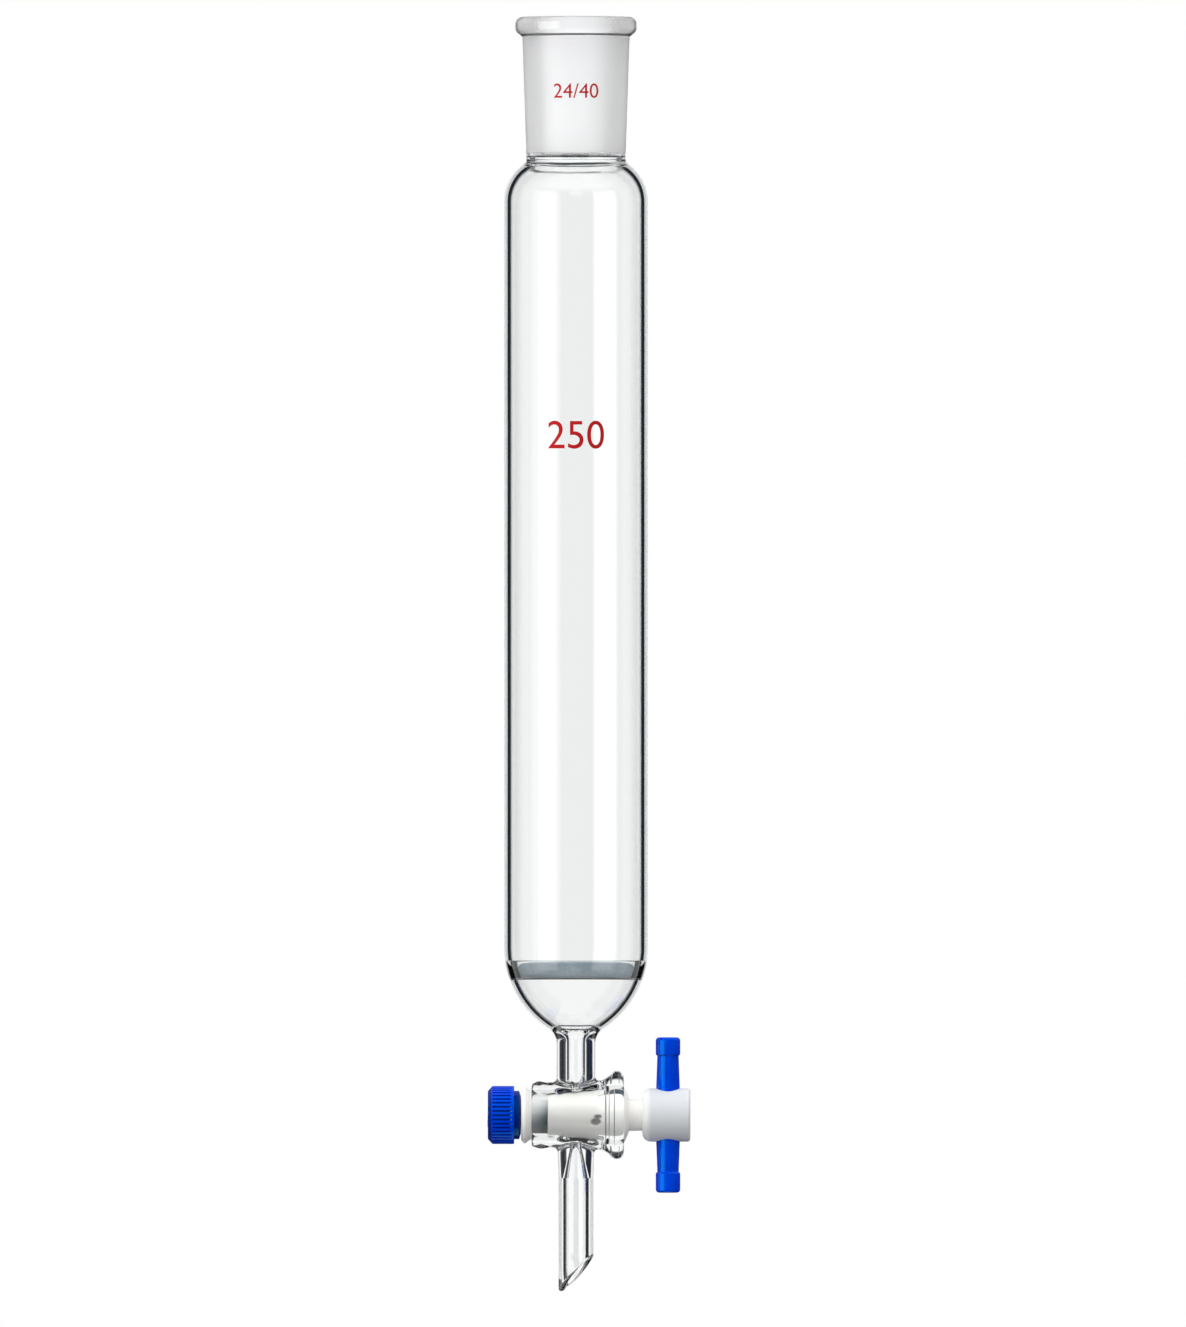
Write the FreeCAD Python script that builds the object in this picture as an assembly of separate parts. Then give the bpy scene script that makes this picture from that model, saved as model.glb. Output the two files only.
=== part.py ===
import FreeCAD, Part
import math
import os

# Chromatography column: glass tube with a ground joint, a fritted disc and a stopcock.
# Millimetres. +Z up, +X towards the stopcock's handle.
# Origin: on the tube's axis, half way up its straight wall.

# Column tube
tube_outer_diameter = 43.2
tube_wall = 2.1
tube_length = 223.5
shoulder_radius = 14.0
neck_outer_diameter = 30.0
neck_wall = 2.55
neck_blend_radius = 2.5
neck_height = 1.4
neck_shelf = 1.0

# Ground joint: mouth, taper and ground length of a 24/40 socket
joint_mouth_diameter = 24.0
joint_taper = 0.1
joint_ground_length = 40.0
joint_foot_wall_step = 0.1
joint_head_diameter = 32.2
rim_diameter = 36.3
rim_height = 5.4
rim_rounding = 2.1
mouth_lip = 0.9
mouth_rounding = 0.8

# Lower dome and its stem
dome_radius = 29.1
dome_wall = 2.1
dome_blend_radius = 5.1
stem_outer_diameter = 11.7
stem_bore = 4.0
funnel_mouth_diameter = 11.0
funnel_depth = 4.2

# Fritted disc and the ring of glass that seals it in
disc_thickness = 5.0
disc_depth = 4.0
disc_inset = 1.65
ring_rise = 1.8
ring_foot = 0.8

# Stopcock: the axis is parallel to X
stopcock_drop = 50.4
plug_small_diameter = 12.0
plug_taper = 0.2
plug_taper_length = 22.8
plug_seat_offset = -8.4
plug_running_gap = 0.05
plug_bore = 2.0
plug_dome = 1.5
barrel_small_overhang = 4.95
barrel_small_diameter = 19.2
barrel_swell = 1.6
barrel_body_length = 19.85
barrel_end_rounding = 0.8
collar_diameter = 26.6
collar_bead_radius = 2.2
mouth_bevel = 0.5
port_diameter = 2.4
arm_fillet = 1.6
upper_stub = 14.5
lower_stub = 18.9
lower_root_diameter = 11.7

# Drip tube
drip_outer_diameter = 10.5
drip_bore = 5.4
drip_length = 35.2
drip_bevel = 49.5
drip_bevel_turn = 10.0
drip_tip_rounding = 0.7

# Plug beyond the barrel: neck, hub and tail
neck_diameter = 9.5
neck_length = 4.0
hub_diameter = 16.0
hub_length = 14.4
hub_inner_rounding = 1.8
hub_outer_rounding = 0.9
tail_diameter = 8.0
tail_length = 18.2
tail_flat_depth = 1.0
tail_chamfer = 0.5

# Handle arms
arm_offset = 7.7
arm_reach = 23.3
arm_shank_diameter = 6.4
arm_root_diameter = 7.1
arm_cap_diameter = 7.35
arm_cap_length = 5.8
arm_cap_rounding = 1.0
arm_socket_floor = 3.5
arm_socket_gap = 0.05

# Washer, O-ring and lock nut on the tail
washer_length = 3.1
washer_body_diameter = 14.7
washer_flange_diameter = 17.6
washer_face_diameter = 15.0
washer_flange_setback = 0.95
washer_cone_length = 1.85
washer_rounding = 0.3
washer_gap = 0.1
ring_cord = 1.4
ring_gap = 0.05
nut_gap = 0.05
nut_running_gap = 0.08
nut_diameter = 17.4
nut_nose_diameter = 11.2
nut_collar_diameter = 14.5
nut_nose_length = 0.5
nut_collar_length = 1.5
nut_band_length = 0.6
nut_ribbed_length = 5.8
nut_end_length = 1.5
nut_end_diameter = 14.4
nut_groove_count = 42
nut_groove_width = 0.55
nut_groove_depth = 0.35
nut_rounding = 0.2
nut_end_rounding = 0.6

# How far a cutter runs past the face that it opens, and lengths too short to draw
cut_margin = 1.0
no_length = 1e-6

# Turns that keep the seams of the stopcock's round faces away from each other
arm_seam_turn = 45
barrel_seam_turn = 90

# Derived sizes
tube_outer = tube_outer_diameter / 2
tube_inner = tube_outer - tube_wall
tube_top_z = tube_length / 2
tube_bottom_z = -tube_length / 2
neck_outer = neck_outer_diameter / 2
neck_inner = neck_outer - neck_wall
shoulder_centre = tube_outer - shoulder_radius

dome_centre = tube_outer - dome_radius
dome_inner_radius = dome_radius - dome_wall
stem_outer = stem_outer_diameter / 2
dome_inner_top = dome_centre + dome_inner_radius

disc_radius = tube_inner - disc_inset
disc_top_z = tube_bottom_z - disc_depth
disc_bottom_z = disc_top_z - disc_thickness
ring_top_z = disc_top_z + ring_rise
ring_bottom_z = disc_bottom_z - ring_foot


def blend_height(centre_offset, arc_radius, blend_radius, wall_radius):
    """Height from a big arc's centre to the centre of the hollow arc that meets it and a straight wall."""
    across = wall_radius + blend_radius - centre_offset
    return math.sqrt((arc_radius + blend_radius) ** 2 - across ** 2)


neck_blend_z = tube_top_z + blend_height(shoulder_centre, shoulder_radius, neck_blend_radius, neck_outer)
neck_top_z = neck_blend_z + neck_height
joint_foot_radius = joint_mouth_diameter / 2 - joint_taper * joint_ground_length / 2
joint_top_z = neck_top_z + joint_ground_length + mouth_lip

dome_blend_z = tube_bottom_z - blend_height(dome_centre, dome_radius, dome_blend_radius, stem_outer)
axis_z = tube_bottom_z - stopcock_drop
upper_joint_z = axis_z + upper_stub
lower_joint_z = axis_z - lower_stub

plug_small = plug_small_diameter / 2
plug_large_x = plug_seat_offset + plug_taper_length
plug_large = plug_small + plug_taper * plug_taper_length / 2
bore_small = plug_small + plug_running_gap
barrel_small_x = plug_seat_offset - barrel_small_overhang
barrel_small = barrel_small_diameter / 2
barrel_large = barrel_small + barrel_swell / 2
barrel_mouth_x = plug_large_x
tail_end_x = plug_seat_offset - tail_length
neck_end_x = plug_large_x + plug_dome + neck_length
hub_end_x = neck_end_x + hub_length
arm_x = neck_end_x + arm_offset

washer_nut_x = barrel_small_x - washer_length
ring_centre_x = washer_nut_x + ring_cord / 2 - ring_gap
nut_nose_x = ring_centre_x - ring_cord / 2 - nut_gap
tail_radius = tail_diameter / 2


def plug_radius_at(x):
    """Radius of the plug's taper at a distance x along the stopcock's axis."""
    return plug_small + plug_taper * (x - plug_seat_offset) / 2


def vector(u, v):
    """Point of an outline: u away from the turning axis or along it, v the other way."""
    return FreeCAD.Vector(u, 0, v)


def line(start, end):
    """Straight edge between two outline points."""
    return Part.LineSegment(vector(*start), vector(*end)).toShape()


def arc(start, middle, end):
    """Circular edge through three outline points."""
    return Part.Arc(vector(*start), vector(*middle), vector(*end)).toShape()


def arc_about(centre, start, end):
    """Short circular edge about a centre, from one outline point to another."""
    radius = math.hypot(start[0] - centre[0], start[1] - centre[1])
    away = ((start[0] + end[0]) / 2 - centre[0], (start[1] + end[1]) / 2 - centre[1])
    scale = radius / math.hypot(*away)
    return arc(start, (centre[0] + away[0] * scale, centre[1] + away[1] * scale), end)


def cove_radius(along, across):
    """Radius of the arc that leaves a point along one way and ends so far along and so far across."""
    return (along ** 2 + across ** 2) / (2 * across)


def toward(centre, target, distance):
    """Point at a distance from a centre, on the way to a target point."""
    span = math.hypot(target[0] - centre[0], target[1] - centre[1])
    return (centre[0] + (target[0] - centre[0]) * distance / span,
            centre[1] + (target[1] - centre[1]) * distance / span)


def rounded_outline(corners):
    """Edges of a closed outline through (u, v, rounding) corners."""
    count = len(corners)
    stops = []
    for index, (u, v, rounding) in enumerate(corners):
        before = corners[index - 1]
        after = corners[(index + 1) % count]
        if rounding == 0:
            stops.append(((u, v), None, (u, v)))
            continue
        to_before = math.atan2(before[1] - v, before[0] - u)
        to_after = math.atan2(after[1] - v, after[0] - u)
        half_angle = abs((to_after - to_before + math.pi) % (2 * math.pi) - math.pi) / 2
        reach = rounding / math.tan(half_angle)
        first = (u + reach * math.cos(to_before), v + reach * math.sin(to_before))
        last = (u + reach * math.cos(to_after), v + reach * math.sin(to_after))
        chord_middle = ((first[0] + last[0]) / 2, (first[1] + last[1]) / 2)
        centre = toward((u, v), chord_middle, rounding / math.sin(half_angle))
        stops.append((first, toward(centre, (u, v), rounding), last))
    edges = []
    for index, (first, middle, last) in enumerate(stops):
        if middle is not None:
            edges.append(arc(first, middle, last))
        following = stops[(index + 1) % count][0]
        if math.hypot(following[0] - last[0], following[1] - last[1]) > no_length:
            edges.append(line(last, following))
    return edges


def turned_about_z(edges):
    """Solid of revolution about the column's axis, from outline points (radius, height)."""
    face = Part.Face(Part.Wire(edges))
    return face.revolve(FreeCAD.Vector(0, 0, 0), FreeCAD.Vector(0, 0, 1), 360)


def turned_about_x(edges):
    """Solid of revolution about the stopcock's axis, from outline points (length, radius)."""
    face = Part.Face(Part.Wire(edges))
    solid = face.revolve(FreeCAD.Vector(0, 0, 0), FreeCAD.Vector(1, 0, 0), 360)
    solid.translate(FreeCAD.Vector(0, 0, axis_z))
    return solid


def upright_cylinder(radius, low_z, high_z, x=0.0):
    """Cylinder about a vertical axis in the plane y = 0."""
    return Part.makeCylinder(radius, high_z - low_z, FreeCAD.Vector(x, 0, low_z))


def upright_cone(low_radius, high_radius, low_z, high_z, x=0.0):
    """Cone about a vertical axis, or a cylinder where both radii are the same."""
    if abs(low_radius - high_radius) < no_length:
        return upright_cylinder(low_radius, low_z, high_z, x)
    return Part.makeCone(low_radius, high_radius, high_z - low_z, FreeCAD.Vector(x, 0, low_z))


def dome_wall_radius(arc_radius, z):
    """Radius of the dome's wall at a height, on the arc of the given radius."""
    return dome_centre + math.sqrt(arc_radius ** 2 - (z - tube_bottom_z) ** 2)


def make_ground_joint():
    """Socket with a ground cone inside and a rolled rim at its mouth."""
    rim_foot_z = joint_top_z - rim_height
    return turned_about_z(rounded_outline([
        (joint_foot_radius, neck_top_z, 0),
        (neck_outer - joint_foot_wall_step, neck_top_z, 0),
        (joint_head_diameter / 2, rim_foot_z, rim_rounding / 2),
        (rim_diameter / 2, rim_foot_z, rim_rounding),
        (rim_diameter / 2, joint_top_z, rim_rounding),
        (joint_mouth_diameter / 2, joint_top_z, mouth_rounding),
        (joint_mouth_diameter / 2, joint_top_z - mouth_lip, 0),
    ]))


def make_column_tube():
    """Straight tube drawn in by a shoulder to the neck that carries the joint."""
    centre = (shoulder_centre, tube_top_z)
    outer_blend = (neck_outer + neck_blend_radius, neck_blend_z)
    inner_radius = shoulder_radius - tube_wall
    inner_rise = blend_height(shoulder_centre, inner_radius, neck_blend_radius, neck_inner)
    inner_blend = (neck_inner + neck_blend_radius, tube_top_z + inner_rise)

    dome_start = (tube_outer, tube_bottom_z)
    shoulder_start = (tube_outer, tube_top_z)
    shoulder_meets_blend = toward(centre, outer_blend, shoulder_radius)
    blend_end = (neck_outer, neck_blend_z)
    neck_edge = (neck_outer, neck_top_z)
    shelf_edge = (joint_foot_radius, neck_top_z)
    shelf_foot = (neck_inner, neck_top_z - neck_shelf)
    shelf_radius = cove_radius(neck_inner - joint_foot_radius, neck_shelf)
    inner_blend_end = (neck_inner, inner_blend[1])
    inner_meets_blend = toward(centre, inner_blend, inner_radius)
    inner_shoulder_start = (tube_inner, tube_top_z)
    bottom_outer = (dome_wall_radius(dome_radius, ring_top_z), ring_top_z)
    bottom_inner = (dome_wall_radius(dome_inner_radius, ring_top_z), ring_top_z)
    inner_dome_start = (dome_inner_top, tube_bottom_z)
    dome_middle = (dome_centre, tube_bottom_z)
    return turned_about_z([
        arc_about(dome_middle, bottom_outer, dome_start),
        line(dome_start, shoulder_start),
        arc_about(centre, shoulder_start, shoulder_meets_blend),
        arc_about(outer_blend, shoulder_meets_blend, blend_end),
        line(blend_end, neck_edge),
        line(neck_edge, shelf_edge),
        arc_about((joint_foot_radius, neck_top_z - shelf_radius), shelf_edge, shelf_foot),
        line(shelf_foot, inner_blend_end),
        arc_about(inner_blend, inner_blend_end, inner_meets_blend),
        arc_about(centre, inner_meets_blend, inner_shoulder_start),
        line(inner_shoulder_start, inner_dome_start),
        arc_about(dome_middle, inner_dome_start, bottom_inner),
        line(bottom_inner, bottom_outer),
    ])


def make_seal_ring():
    """Thick ring of glass fused round the disc's edge, rounded above it."""
    top_outer = (dome_wall_radius(dome_radius, ring_top_z), ring_top_z)
    top_inner = (dome_wall_radius(dome_inner_radius, ring_top_z), ring_top_z)
    bottom_outer = (dome_wall_radius(dome_radius, ring_bottom_z), ring_bottom_z)
    bottom_inner = (dome_wall_radius(dome_inner_radius, ring_bottom_z), ring_bottom_z)
    disc_upper_edge = (disc_radius, disc_top_z)
    disc_lower_edge = (disc_radius, disc_bottom_z)
    cove = cove_radius(top_inner[0] - disc_radius, ring_rise)
    return turned_about_z([
        arc_about((dome_centre, tube_bottom_z), top_outer, bottom_outer),
        line(bottom_outer, bottom_inner),
        line(bottom_inner, disc_lower_edge),
        line(disc_lower_edge, disc_upper_edge),
        arc_about((disc_radius, disc_top_z + cove), disc_upper_edge, top_inner),
        line(top_inner, top_outer),
    ])


def make_fritted_disc():
    """Porous disc, sealed in by its edge."""
    return upright_cylinder(disc_radius, disc_bottom_z, disc_top_z)


def make_lower_dome():
    """Dome that gathers to the stem, with a funnel inside down to the stem's bore."""
    middle = (dome_centre, tube_bottom_z)
    blend = (stem_outer + dome_blend_radius, dome_blend_z)
    top_outer = (dome_wall_radius(dome_radius, ring_bottom_z), ring_bottom_z)
    top_inner = (dome_wall_radius(dome_inner_radius, ring_bottom_z), ring_bottom_z)
    meets_blend = toward(middle, blend, dome_radius)
    blend_end = (stem_outer, dome_blend_z)
    foot_outer = (stem_outer, upper_joint_z)
    foot_inner = (stem_bore / 2, upper_joint_z)
    funnel_radius = funnel_mouth_diameter / 2
    funnel_drop = math.sqrt(dome_inner_radius ** 2 - (funnel_radius - dome_centre) ** 2)
    funnel_z = tube_bottom_z - funnel_drop
    funnel_mouth = (funnel_radius, funnel_z)
    funnel_foot = (stem_bore / 2, funnel_z - funnel_depth)
    throat_radius = cove_radius(funnel_depth, funnel_radius - stem_bore / 2)
    throat = (stem_bore / 2 + throat_radius, funnel_foot[1])
    return turned_about_z([
        arc_about(middle, top_outer, meets_blend),
        arc_about(blend, meets_blend, blend_end),
        line(blend_end, foot_outer),
        line(foot_outer, foot_inner),
        line(foot_inner, funnel_foot),
        arc_about(throat, funnel_foot, funnel_mouth),
        arc_about(middle, funnel_mouth, top_inner),
        line(top_inner, top_outer),
    ])


def collar_edges():
    """Outer edges of the barrel from its body up over the flared collar to the mouth, with their ends."""
    body_end = (barrel_small_x + barrel_body_length, barrel_large)
    bead = (barrel_mouth_x - collar_bead_radius, collar_diameter / 2 - collar_bead_radius)
    along = bead[0] - body_end[0]
    below = body_end[1] - bead[1]
    flare_radius = ((along ** 2 + below ** 2 - collar_bead_radius ** 2)
                    / (2 * (collar_bead_radius - below)))
    flare = (body_end[0], body_end[1] + flare_radius)
    bead_start = toward(bead, flare, collar_bead_radius)
    bead_top = (bead[0], bead[1] + collar_bead_radius)
    bead_end = (bead[0] + collar_bead_radius, bead[1])
    mouth_outer = (barrel_mouth_x, plug_large + plug_running_gap + mouth_bevel)
    edges = [
        arc_about(flare, body_end, bead_start),
        arc_about(bead, bead_start, bead_top),
        arc_about(bead, bead_top, bead_end),
        line(bead_end, mouth_outer),
    ]
    return edges, body_end, mouth_outer


def make_barrel_outside():
    """Outside of the barrel: slightly conical body and the flared collar at the plug's large end."""
    edges, body_end, mouth_outer = collar_edges()
    small_outer = (barrel_small_x + barrel_end_rounding, barrel_small)
    small_edge = (barrel_small_x, barrel_small - barrel_end_rounding)
    small_axis = (barrel_small_x, 0)
    mouth_axis = (barrel_mouth_x, 0)
    return turned_about_x([
        line(small_axis, small_edge),
        arc_about((small_outer[0], small_edge[1]), small_edge, small_outer),
        line(small_outer, body_end),
        *edges,
        line(mouth_outer, mouth_axis),
        line(mouth_axis, small_axis),
    ])


def make_barrel_bore():
    """Hollow of the barrel: the plug's taper with its running gap, and a straight bore beyond it."""
    low_x = barrel_small_x - cut_margin
    high_x = barrel_mouth_x + cut_margin
    bevel_x = barrel_mouth_x - mouth_bevel
    large = plug_radius_at(bevel_x) + plug_running_gap
    mouth = plug_large + plug_running_gap + mouth_bevel
    return turned_about_x([
        line((low_x, 0), (low_x, bore_small)),
        line((low_x, bore_small), (plug_seat_offset, bore_small)),
        line((plug_seat_offset, bore_small), (bevel_x, large)),
        line((bevel_x, large), (barrel_mouth_x, mouth)),
        line((barrel_mouth_x, mouth), (high_x, mouth)),
        line((high_x, mouth), (high_x, 0)),
        line((high_x, 0), (low_x, 0)),
    ])


def root_edges(solid):
    """Edges where an upright arm runs into the barrel: one face turned about Z, the other about X."""
    found = []
    for edge in solid.Edges:
        faces = solid.ancestorsOfType(edge, Part.Face)
        turned_about = {round(abs(face.Surface.Axis.z)) for face in faces}
        if turned_about == {0, 1}:
            found.append(edge)
    return found


def make_stopcock_barrel():
    """Glass barrel with its two arm stubs run into it by fillets, bored for the plug and the flow."""
    upper = upright_cylinder(stem_outer, axis_z, upper_joint_z)
    lower = upright_cone(drip_outer_diameter / 2, lower_root_diameter / 2, lower_joint_z, axis_z)
    for arm in (upper, lower):
        arm.rotate(FreeCAD.Vector(0, 0, 0), FreeCAD.Vector(0, 0, 1), arm_seam_turn)
    body = make_barrel_outside()
    body.rotate(FreeCAD.Vector(0, 0, axis_z), FreeCAD.Vector(1, 0, 0), barrel_seam_turn)
    solid = body.fuse([upper, lower])
    solid = solid.makeFillet(arm_fillet, root_edges(solid))
    ways = [
        make_barrel_bore(),
        upright_cylinder(port_diameter / 2, axis_z - barrel_small, axis_z + barrel_small),
        upright_cylinder(stem_bore / 2, axis_z + barrel_small, upper_joint_z + cut_margin),
        upright_cone(port_diameter / 2, stem_bore / 2, axis_z + plug_large, axis_z + barrel_small),
        upright_cone(drip_bore / 2, port_diameter / 2, lower_joint_z, axis_z - barrel_small),
    ]
    for way in ways:
        solid = solid.cut(way)
    return solid


def make_drip_tube():
    """Outlet tube below the stopcock, cut on a slant at its tip and fire-polished there."""
    low_z = lower_joint_z - drip_length
    outer = drip_outer_diameter / 2
    tube = upright_cylinder(outer, low_z, lower_joint_z)
    tube = tube.cut(upright_cylinder(drip_bore / 2, low_z, lower_joint_z))
    reach = 3 * drip_outer_diameter
    slant = Part.makeBox(2 * reach, 2 * reach, reach, FreeCAD.Vector(-reach, -reach, -reach))
    slant.rotate(FreeCAD.Vector(0, 0, 0), FreeCAD.Vector(0, 1, 0), -drip_bevel)
    slant.translate(FreeCAD.Vector(-outer, 0, low_z))
    slant.rotate(FreeCAD.Vector(0, 0, 0), FreeCAD.Vector(0, 0, 1), -drip_bevel_turn)
    tube = tube.cut(slant)
    rims = [edge for edge in tube.Edges
            if not isinstance(edge.Curve, (Part.Line, Part.Circle))]
    return tube.makeFillet(drip_tip_rounding, rims)


def make_stopcock_plug():
    """Plug turned in one piece: tail, taper, domed shoulder, neck and the hub for the handle arms."""
    shoulder_end = (plug_large_x + plug_dome, neck_diameter / 2)
    shoulder_start = (plug_large_x, plug_large)
    dome_across = plug_large ** 2 - (neck_diameter / 2) ** 2
    dome_middle_x = plug_large_x - (dome_across - plug_dome ** 2) / (2 * plug_dome)
    tail_edge = (tail_end_x, tail_radius - tail_chamfer)
    tail_corner = (tail_end_x + tail_chamfer, tail_radius)
    hub = hub_diameter / 2
    hub_start_outer = (neck_end_x + hub_inner_rounding, hub)
    hub_start_inner = (neck_end_x, hub - hub_inner_rounding)
    hub_finish_outer = (hub_end_x - hub_outer_rounding, hub)
    hub_finish_inner = (hub_end_x, hub - hub_outer_rounding)
    solid = turned_about_x([
        line((tail_end_x, 0), tail_edge),
        line(tail_edge, tail_corner),
        line(tail_corner, (plug_seat_offset, tail_radius)),
        line((plug_seat_offset, tail_radius), (plug_seat_offset, plug_small)),
        line((plug_seat_offset, plug_small), shoulder_start),
        arc_about((dome_middle_x, 0), shoulder_start, shoulder_end),
        line(shoulder_end, (neck_end_x, neck_diameter / 2)),
        line((neck_end_x, neck_diameter / 2), hub_start_inner),
        arc_about((hub_start_outer[0], hub_start_inner[1]), hub_start_inner, hub_start_outer),
        line(hub_start_outer, hub_finish_outer),
        arc_about((hub_finish_outer[0], hub_finish_inner[1]), hub_finish_outer, hub_finish_inner),
        line(hub_finish_inner, (hub_end_x, 0)),
        line((hub_end_x, 0), (tail_end_x, 0)),
    ])
    solid = solid.cut(upright_cylinder(plug_bore / 2, axis_z - plug_large, axis_z + plug_large))
    flat_low = tail_radius - tail_flat_depth
    flat = Part.makeBox(plug_seat_offset - tail_end_x, tail_diameter, tail_diameter,
                        FreeCAD.Vector(tail_end_x, -tail_radius, axis_z + flat_low))
    solid = solid.cut(flat)
    socket = arm_root_diameter / 2 + arm_socket_gap
    for side in (1, -1):
        floor_z = axis_z + side * arm_socket_floor
        edge_z = axis_z + side * hub_diameter
        solid = solid.cut(upright_cylinder(socket, min(floor_z, edge_z), max(floor_z, edge_z), arm_x))
    return solid


def make_handle_arm(side):
    """One arm of the handle: shank that widens to its root, and a cap, standing out from the hub."""
    tip = axis_z + side * arm_reach
    cap_foot = tip - side * arm_cap_length
    floor = axis_z + side * arm_socket_floor
    hub_edge = axis_z + side * hub_diameter / 2
    cap = arm_cap_diameter / 2
    solid = turned_about_z(rounded_outline([
        (0, floor, 0),
        (arm_root_diameter / 2, floor, 0),
        (arm_root_diameter / 2, hub_edge, 0),
        (arm_shank_diameter / 2, cap_foot - side * (cap - arm_shank_diameter / 2), 0),
        (cap, cap_foot, arm_cap_rounding / 3),
        (cap, tip, arm_cap_rounding),
        (0, tip, 0),
    ]))
    solid.translate(FreeCAD.Vector(arm_x, 0, 0))
    return solid


def tail_hole(gap, flat_depth, low_x, high_x):
    """Cutter for a hole that passes the tail with a gap, with the tail's flat where it has one."""
    radius = tail_radius + gap
    cutter = Part.makeCylinder(radius, high_x - low_x, FreeCAD.Vector(low_x, 0, axis_z),
                               FreeCAD.Vector(1, 0, 0))
    if flat_depth > 0:
        flat = Part.makeBox(high_x - low_x, 2 * radius, 2 * radius,
                            FreeCAD.Vector(low_x, -radius, axis_z + tail_radius - flat_depth + gap))
        cutter = cutter.cut(flat)
    return cutter


def make_flanged_washer():
    """Washer keyed to the tail, flat against the barrel, flanged and dished towards the nut."""
    body = washer_body_diameter / 2
    flange = washer_flange_diameter / 2
    flange_x = washer_nut_x + washer_flange_setback
    dish = tail_radius + ring_gap + ring_cord + ring_gap
    dish_floor_x = washer_nut_x + ring_cord
    solid = turned_about_x(rounded_outline([
        (barrel_small_x, 0, 0),
        (barrel_small_x, body, 0),
        (flange_x + washer_cone_length, body, 0),
        (flange_x, flange, washer_rounding),
        (washer_nut_x, washer_face_diameter / 2, washer_rounding),
        (washer_nut_x, dish, 0),
        (dish_floor_x, dish, 0),
        (dish_floor_x, 0, 0),
    ]))
    return solid.cut(tail_hole(washer_gap, tail_flat_depth, washer_nut_x, barrel_small_x))


def make_o_ring():
    """Rubber ring round the tail, in the washer's dish."""
    ring = Part.makeTorus(tail_radius + ring_gap + ring_cord / 2, ring_cord / 2,
                          FreeCAD.Vector(ring_centre_x, 0, axis_z), FreeCAD.Vector(1, 0, 0))
    return ring


def make_lock_nut():
    """Nut on the tail: nose, collar, grooved grip and a chamfered outer end."""
    collar_x = nut_nose_x - nut_nose_length
    band_x = collar_x - nut_collar_length
    ribbed_x = band_x - nut_band_length
    end_x = ribbed_x - nut_ribbed_length
    outer_x = end_x - nut_end_length
    grip = nut_diameter / 2
    solid = turned_about_x(rounded_outline([
        (nut_nose_x, 0, 0),
        (nut_nose_x, nut_nose_diameter / 2, 0),
        (collar_x, nut_collar_diameter / 2, nut_rounding),
        (band_x, nut_collar_diameter / 2, 0),
        (band_x, grip, nut_rounding),
        (end_x, grip, 2 * nut_rounding),
        (outer_x, nut_end_diameter / 2, nut_end_rounding),
        (outer_x, 0, 0),
    ]))
    solid = solid.cut(tail_hole(nut_running_gap, 0, outer_x - cut_margin, nut_nose_x + cut_margin))
    groove = Part.makeBox(ribbed_x - end_x, nut_groove_width, grip,
                          FreeCAD.Vector(end_x, -nut_groove_width / 2, axis_z + grip - nut_groove_depth))
    grooves = []
    for index in range(nut_groove_count):
        cutter = groove.copy()
        cutter.rotate(FreeCAD.Vector(0, 0, axis_z), FreeCAD.Vector(1, 0, 0), 360 * index / nut_groove_count)
        grooves.append(cutter)
    return solid.cut(Part.makeCompound(grooves))


nodes = {
    "ground_joint": make_ground_joint(),
    "column_tube": make_column_tube(),
    "disc_seal_ring": make_seal_ring(),
    "fritted_disc": make_fritted_disc(),
    "lower_dome": make_lower_dome(),
    "stopcock_barrel": make_stopcock_barrel(),
    "drip_tube": make_drip_tube(),
    "stopcock_plug": make_stopcock_plug(),
    "handle_arm_upper": make_handle_arm(1),
    "handle_arm_lower": make_handle_arm(-1),
    "flanged_washer": make_flanged_washer(),
    "o_ring": make_o_ring(),
    "lock_nut": make_lock_nut(),
}

os.makedirs("parts", exist_ok=True)
for name, shape in nodes.items():
    shape.exportStep("parts/" + name + ".step")
    box = shape.BoundBox
    print(name, "solids", len(shape.Solids), "valid", shape.isValid(), "volume", round(shape.Volume, 2),
          "x", round(box.XMin, 2), round(box.XMax, 2), "y", round(box.YMin, 2), round(box.YMax, 2),
          "z", round(box.ZMin, 2), round(box.ZMax, 2))
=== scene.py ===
"""Looks of the chromatography column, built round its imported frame.

Shapes are worked out in millimetres in the frame's own axes: +Z up the tube, +X along the stopcock
towards its handle, +Y away from the viewer. They are turned into metres when a mesh is made.
"""

import logging
import math
from dataclasses import dataclass
from enum import Enum, IntEnum
from typing import Callable, Sequence

import bmesh
import bpy
import numpy as np
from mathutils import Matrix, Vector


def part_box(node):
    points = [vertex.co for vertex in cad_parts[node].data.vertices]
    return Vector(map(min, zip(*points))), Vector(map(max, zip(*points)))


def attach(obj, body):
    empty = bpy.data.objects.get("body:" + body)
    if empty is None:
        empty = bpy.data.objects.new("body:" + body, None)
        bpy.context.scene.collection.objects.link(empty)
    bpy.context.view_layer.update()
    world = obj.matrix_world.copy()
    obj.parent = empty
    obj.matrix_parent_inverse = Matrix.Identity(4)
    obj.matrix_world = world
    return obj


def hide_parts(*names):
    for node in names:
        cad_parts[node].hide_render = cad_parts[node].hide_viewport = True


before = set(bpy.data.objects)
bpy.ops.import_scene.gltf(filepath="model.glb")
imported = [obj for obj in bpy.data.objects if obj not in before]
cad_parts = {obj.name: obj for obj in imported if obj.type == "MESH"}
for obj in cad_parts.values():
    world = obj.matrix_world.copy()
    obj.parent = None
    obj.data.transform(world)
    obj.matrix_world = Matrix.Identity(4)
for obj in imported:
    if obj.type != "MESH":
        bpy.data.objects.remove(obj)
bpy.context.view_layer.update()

MM = 0.001
SIDE_CELLS = 36
RING_COLUMNS = 4 * SIDE_CELLS
TURNED_COLUMNS = 120
RING_START = math.pi / 4
WELD_DISTANCE = 1e-6
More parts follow.
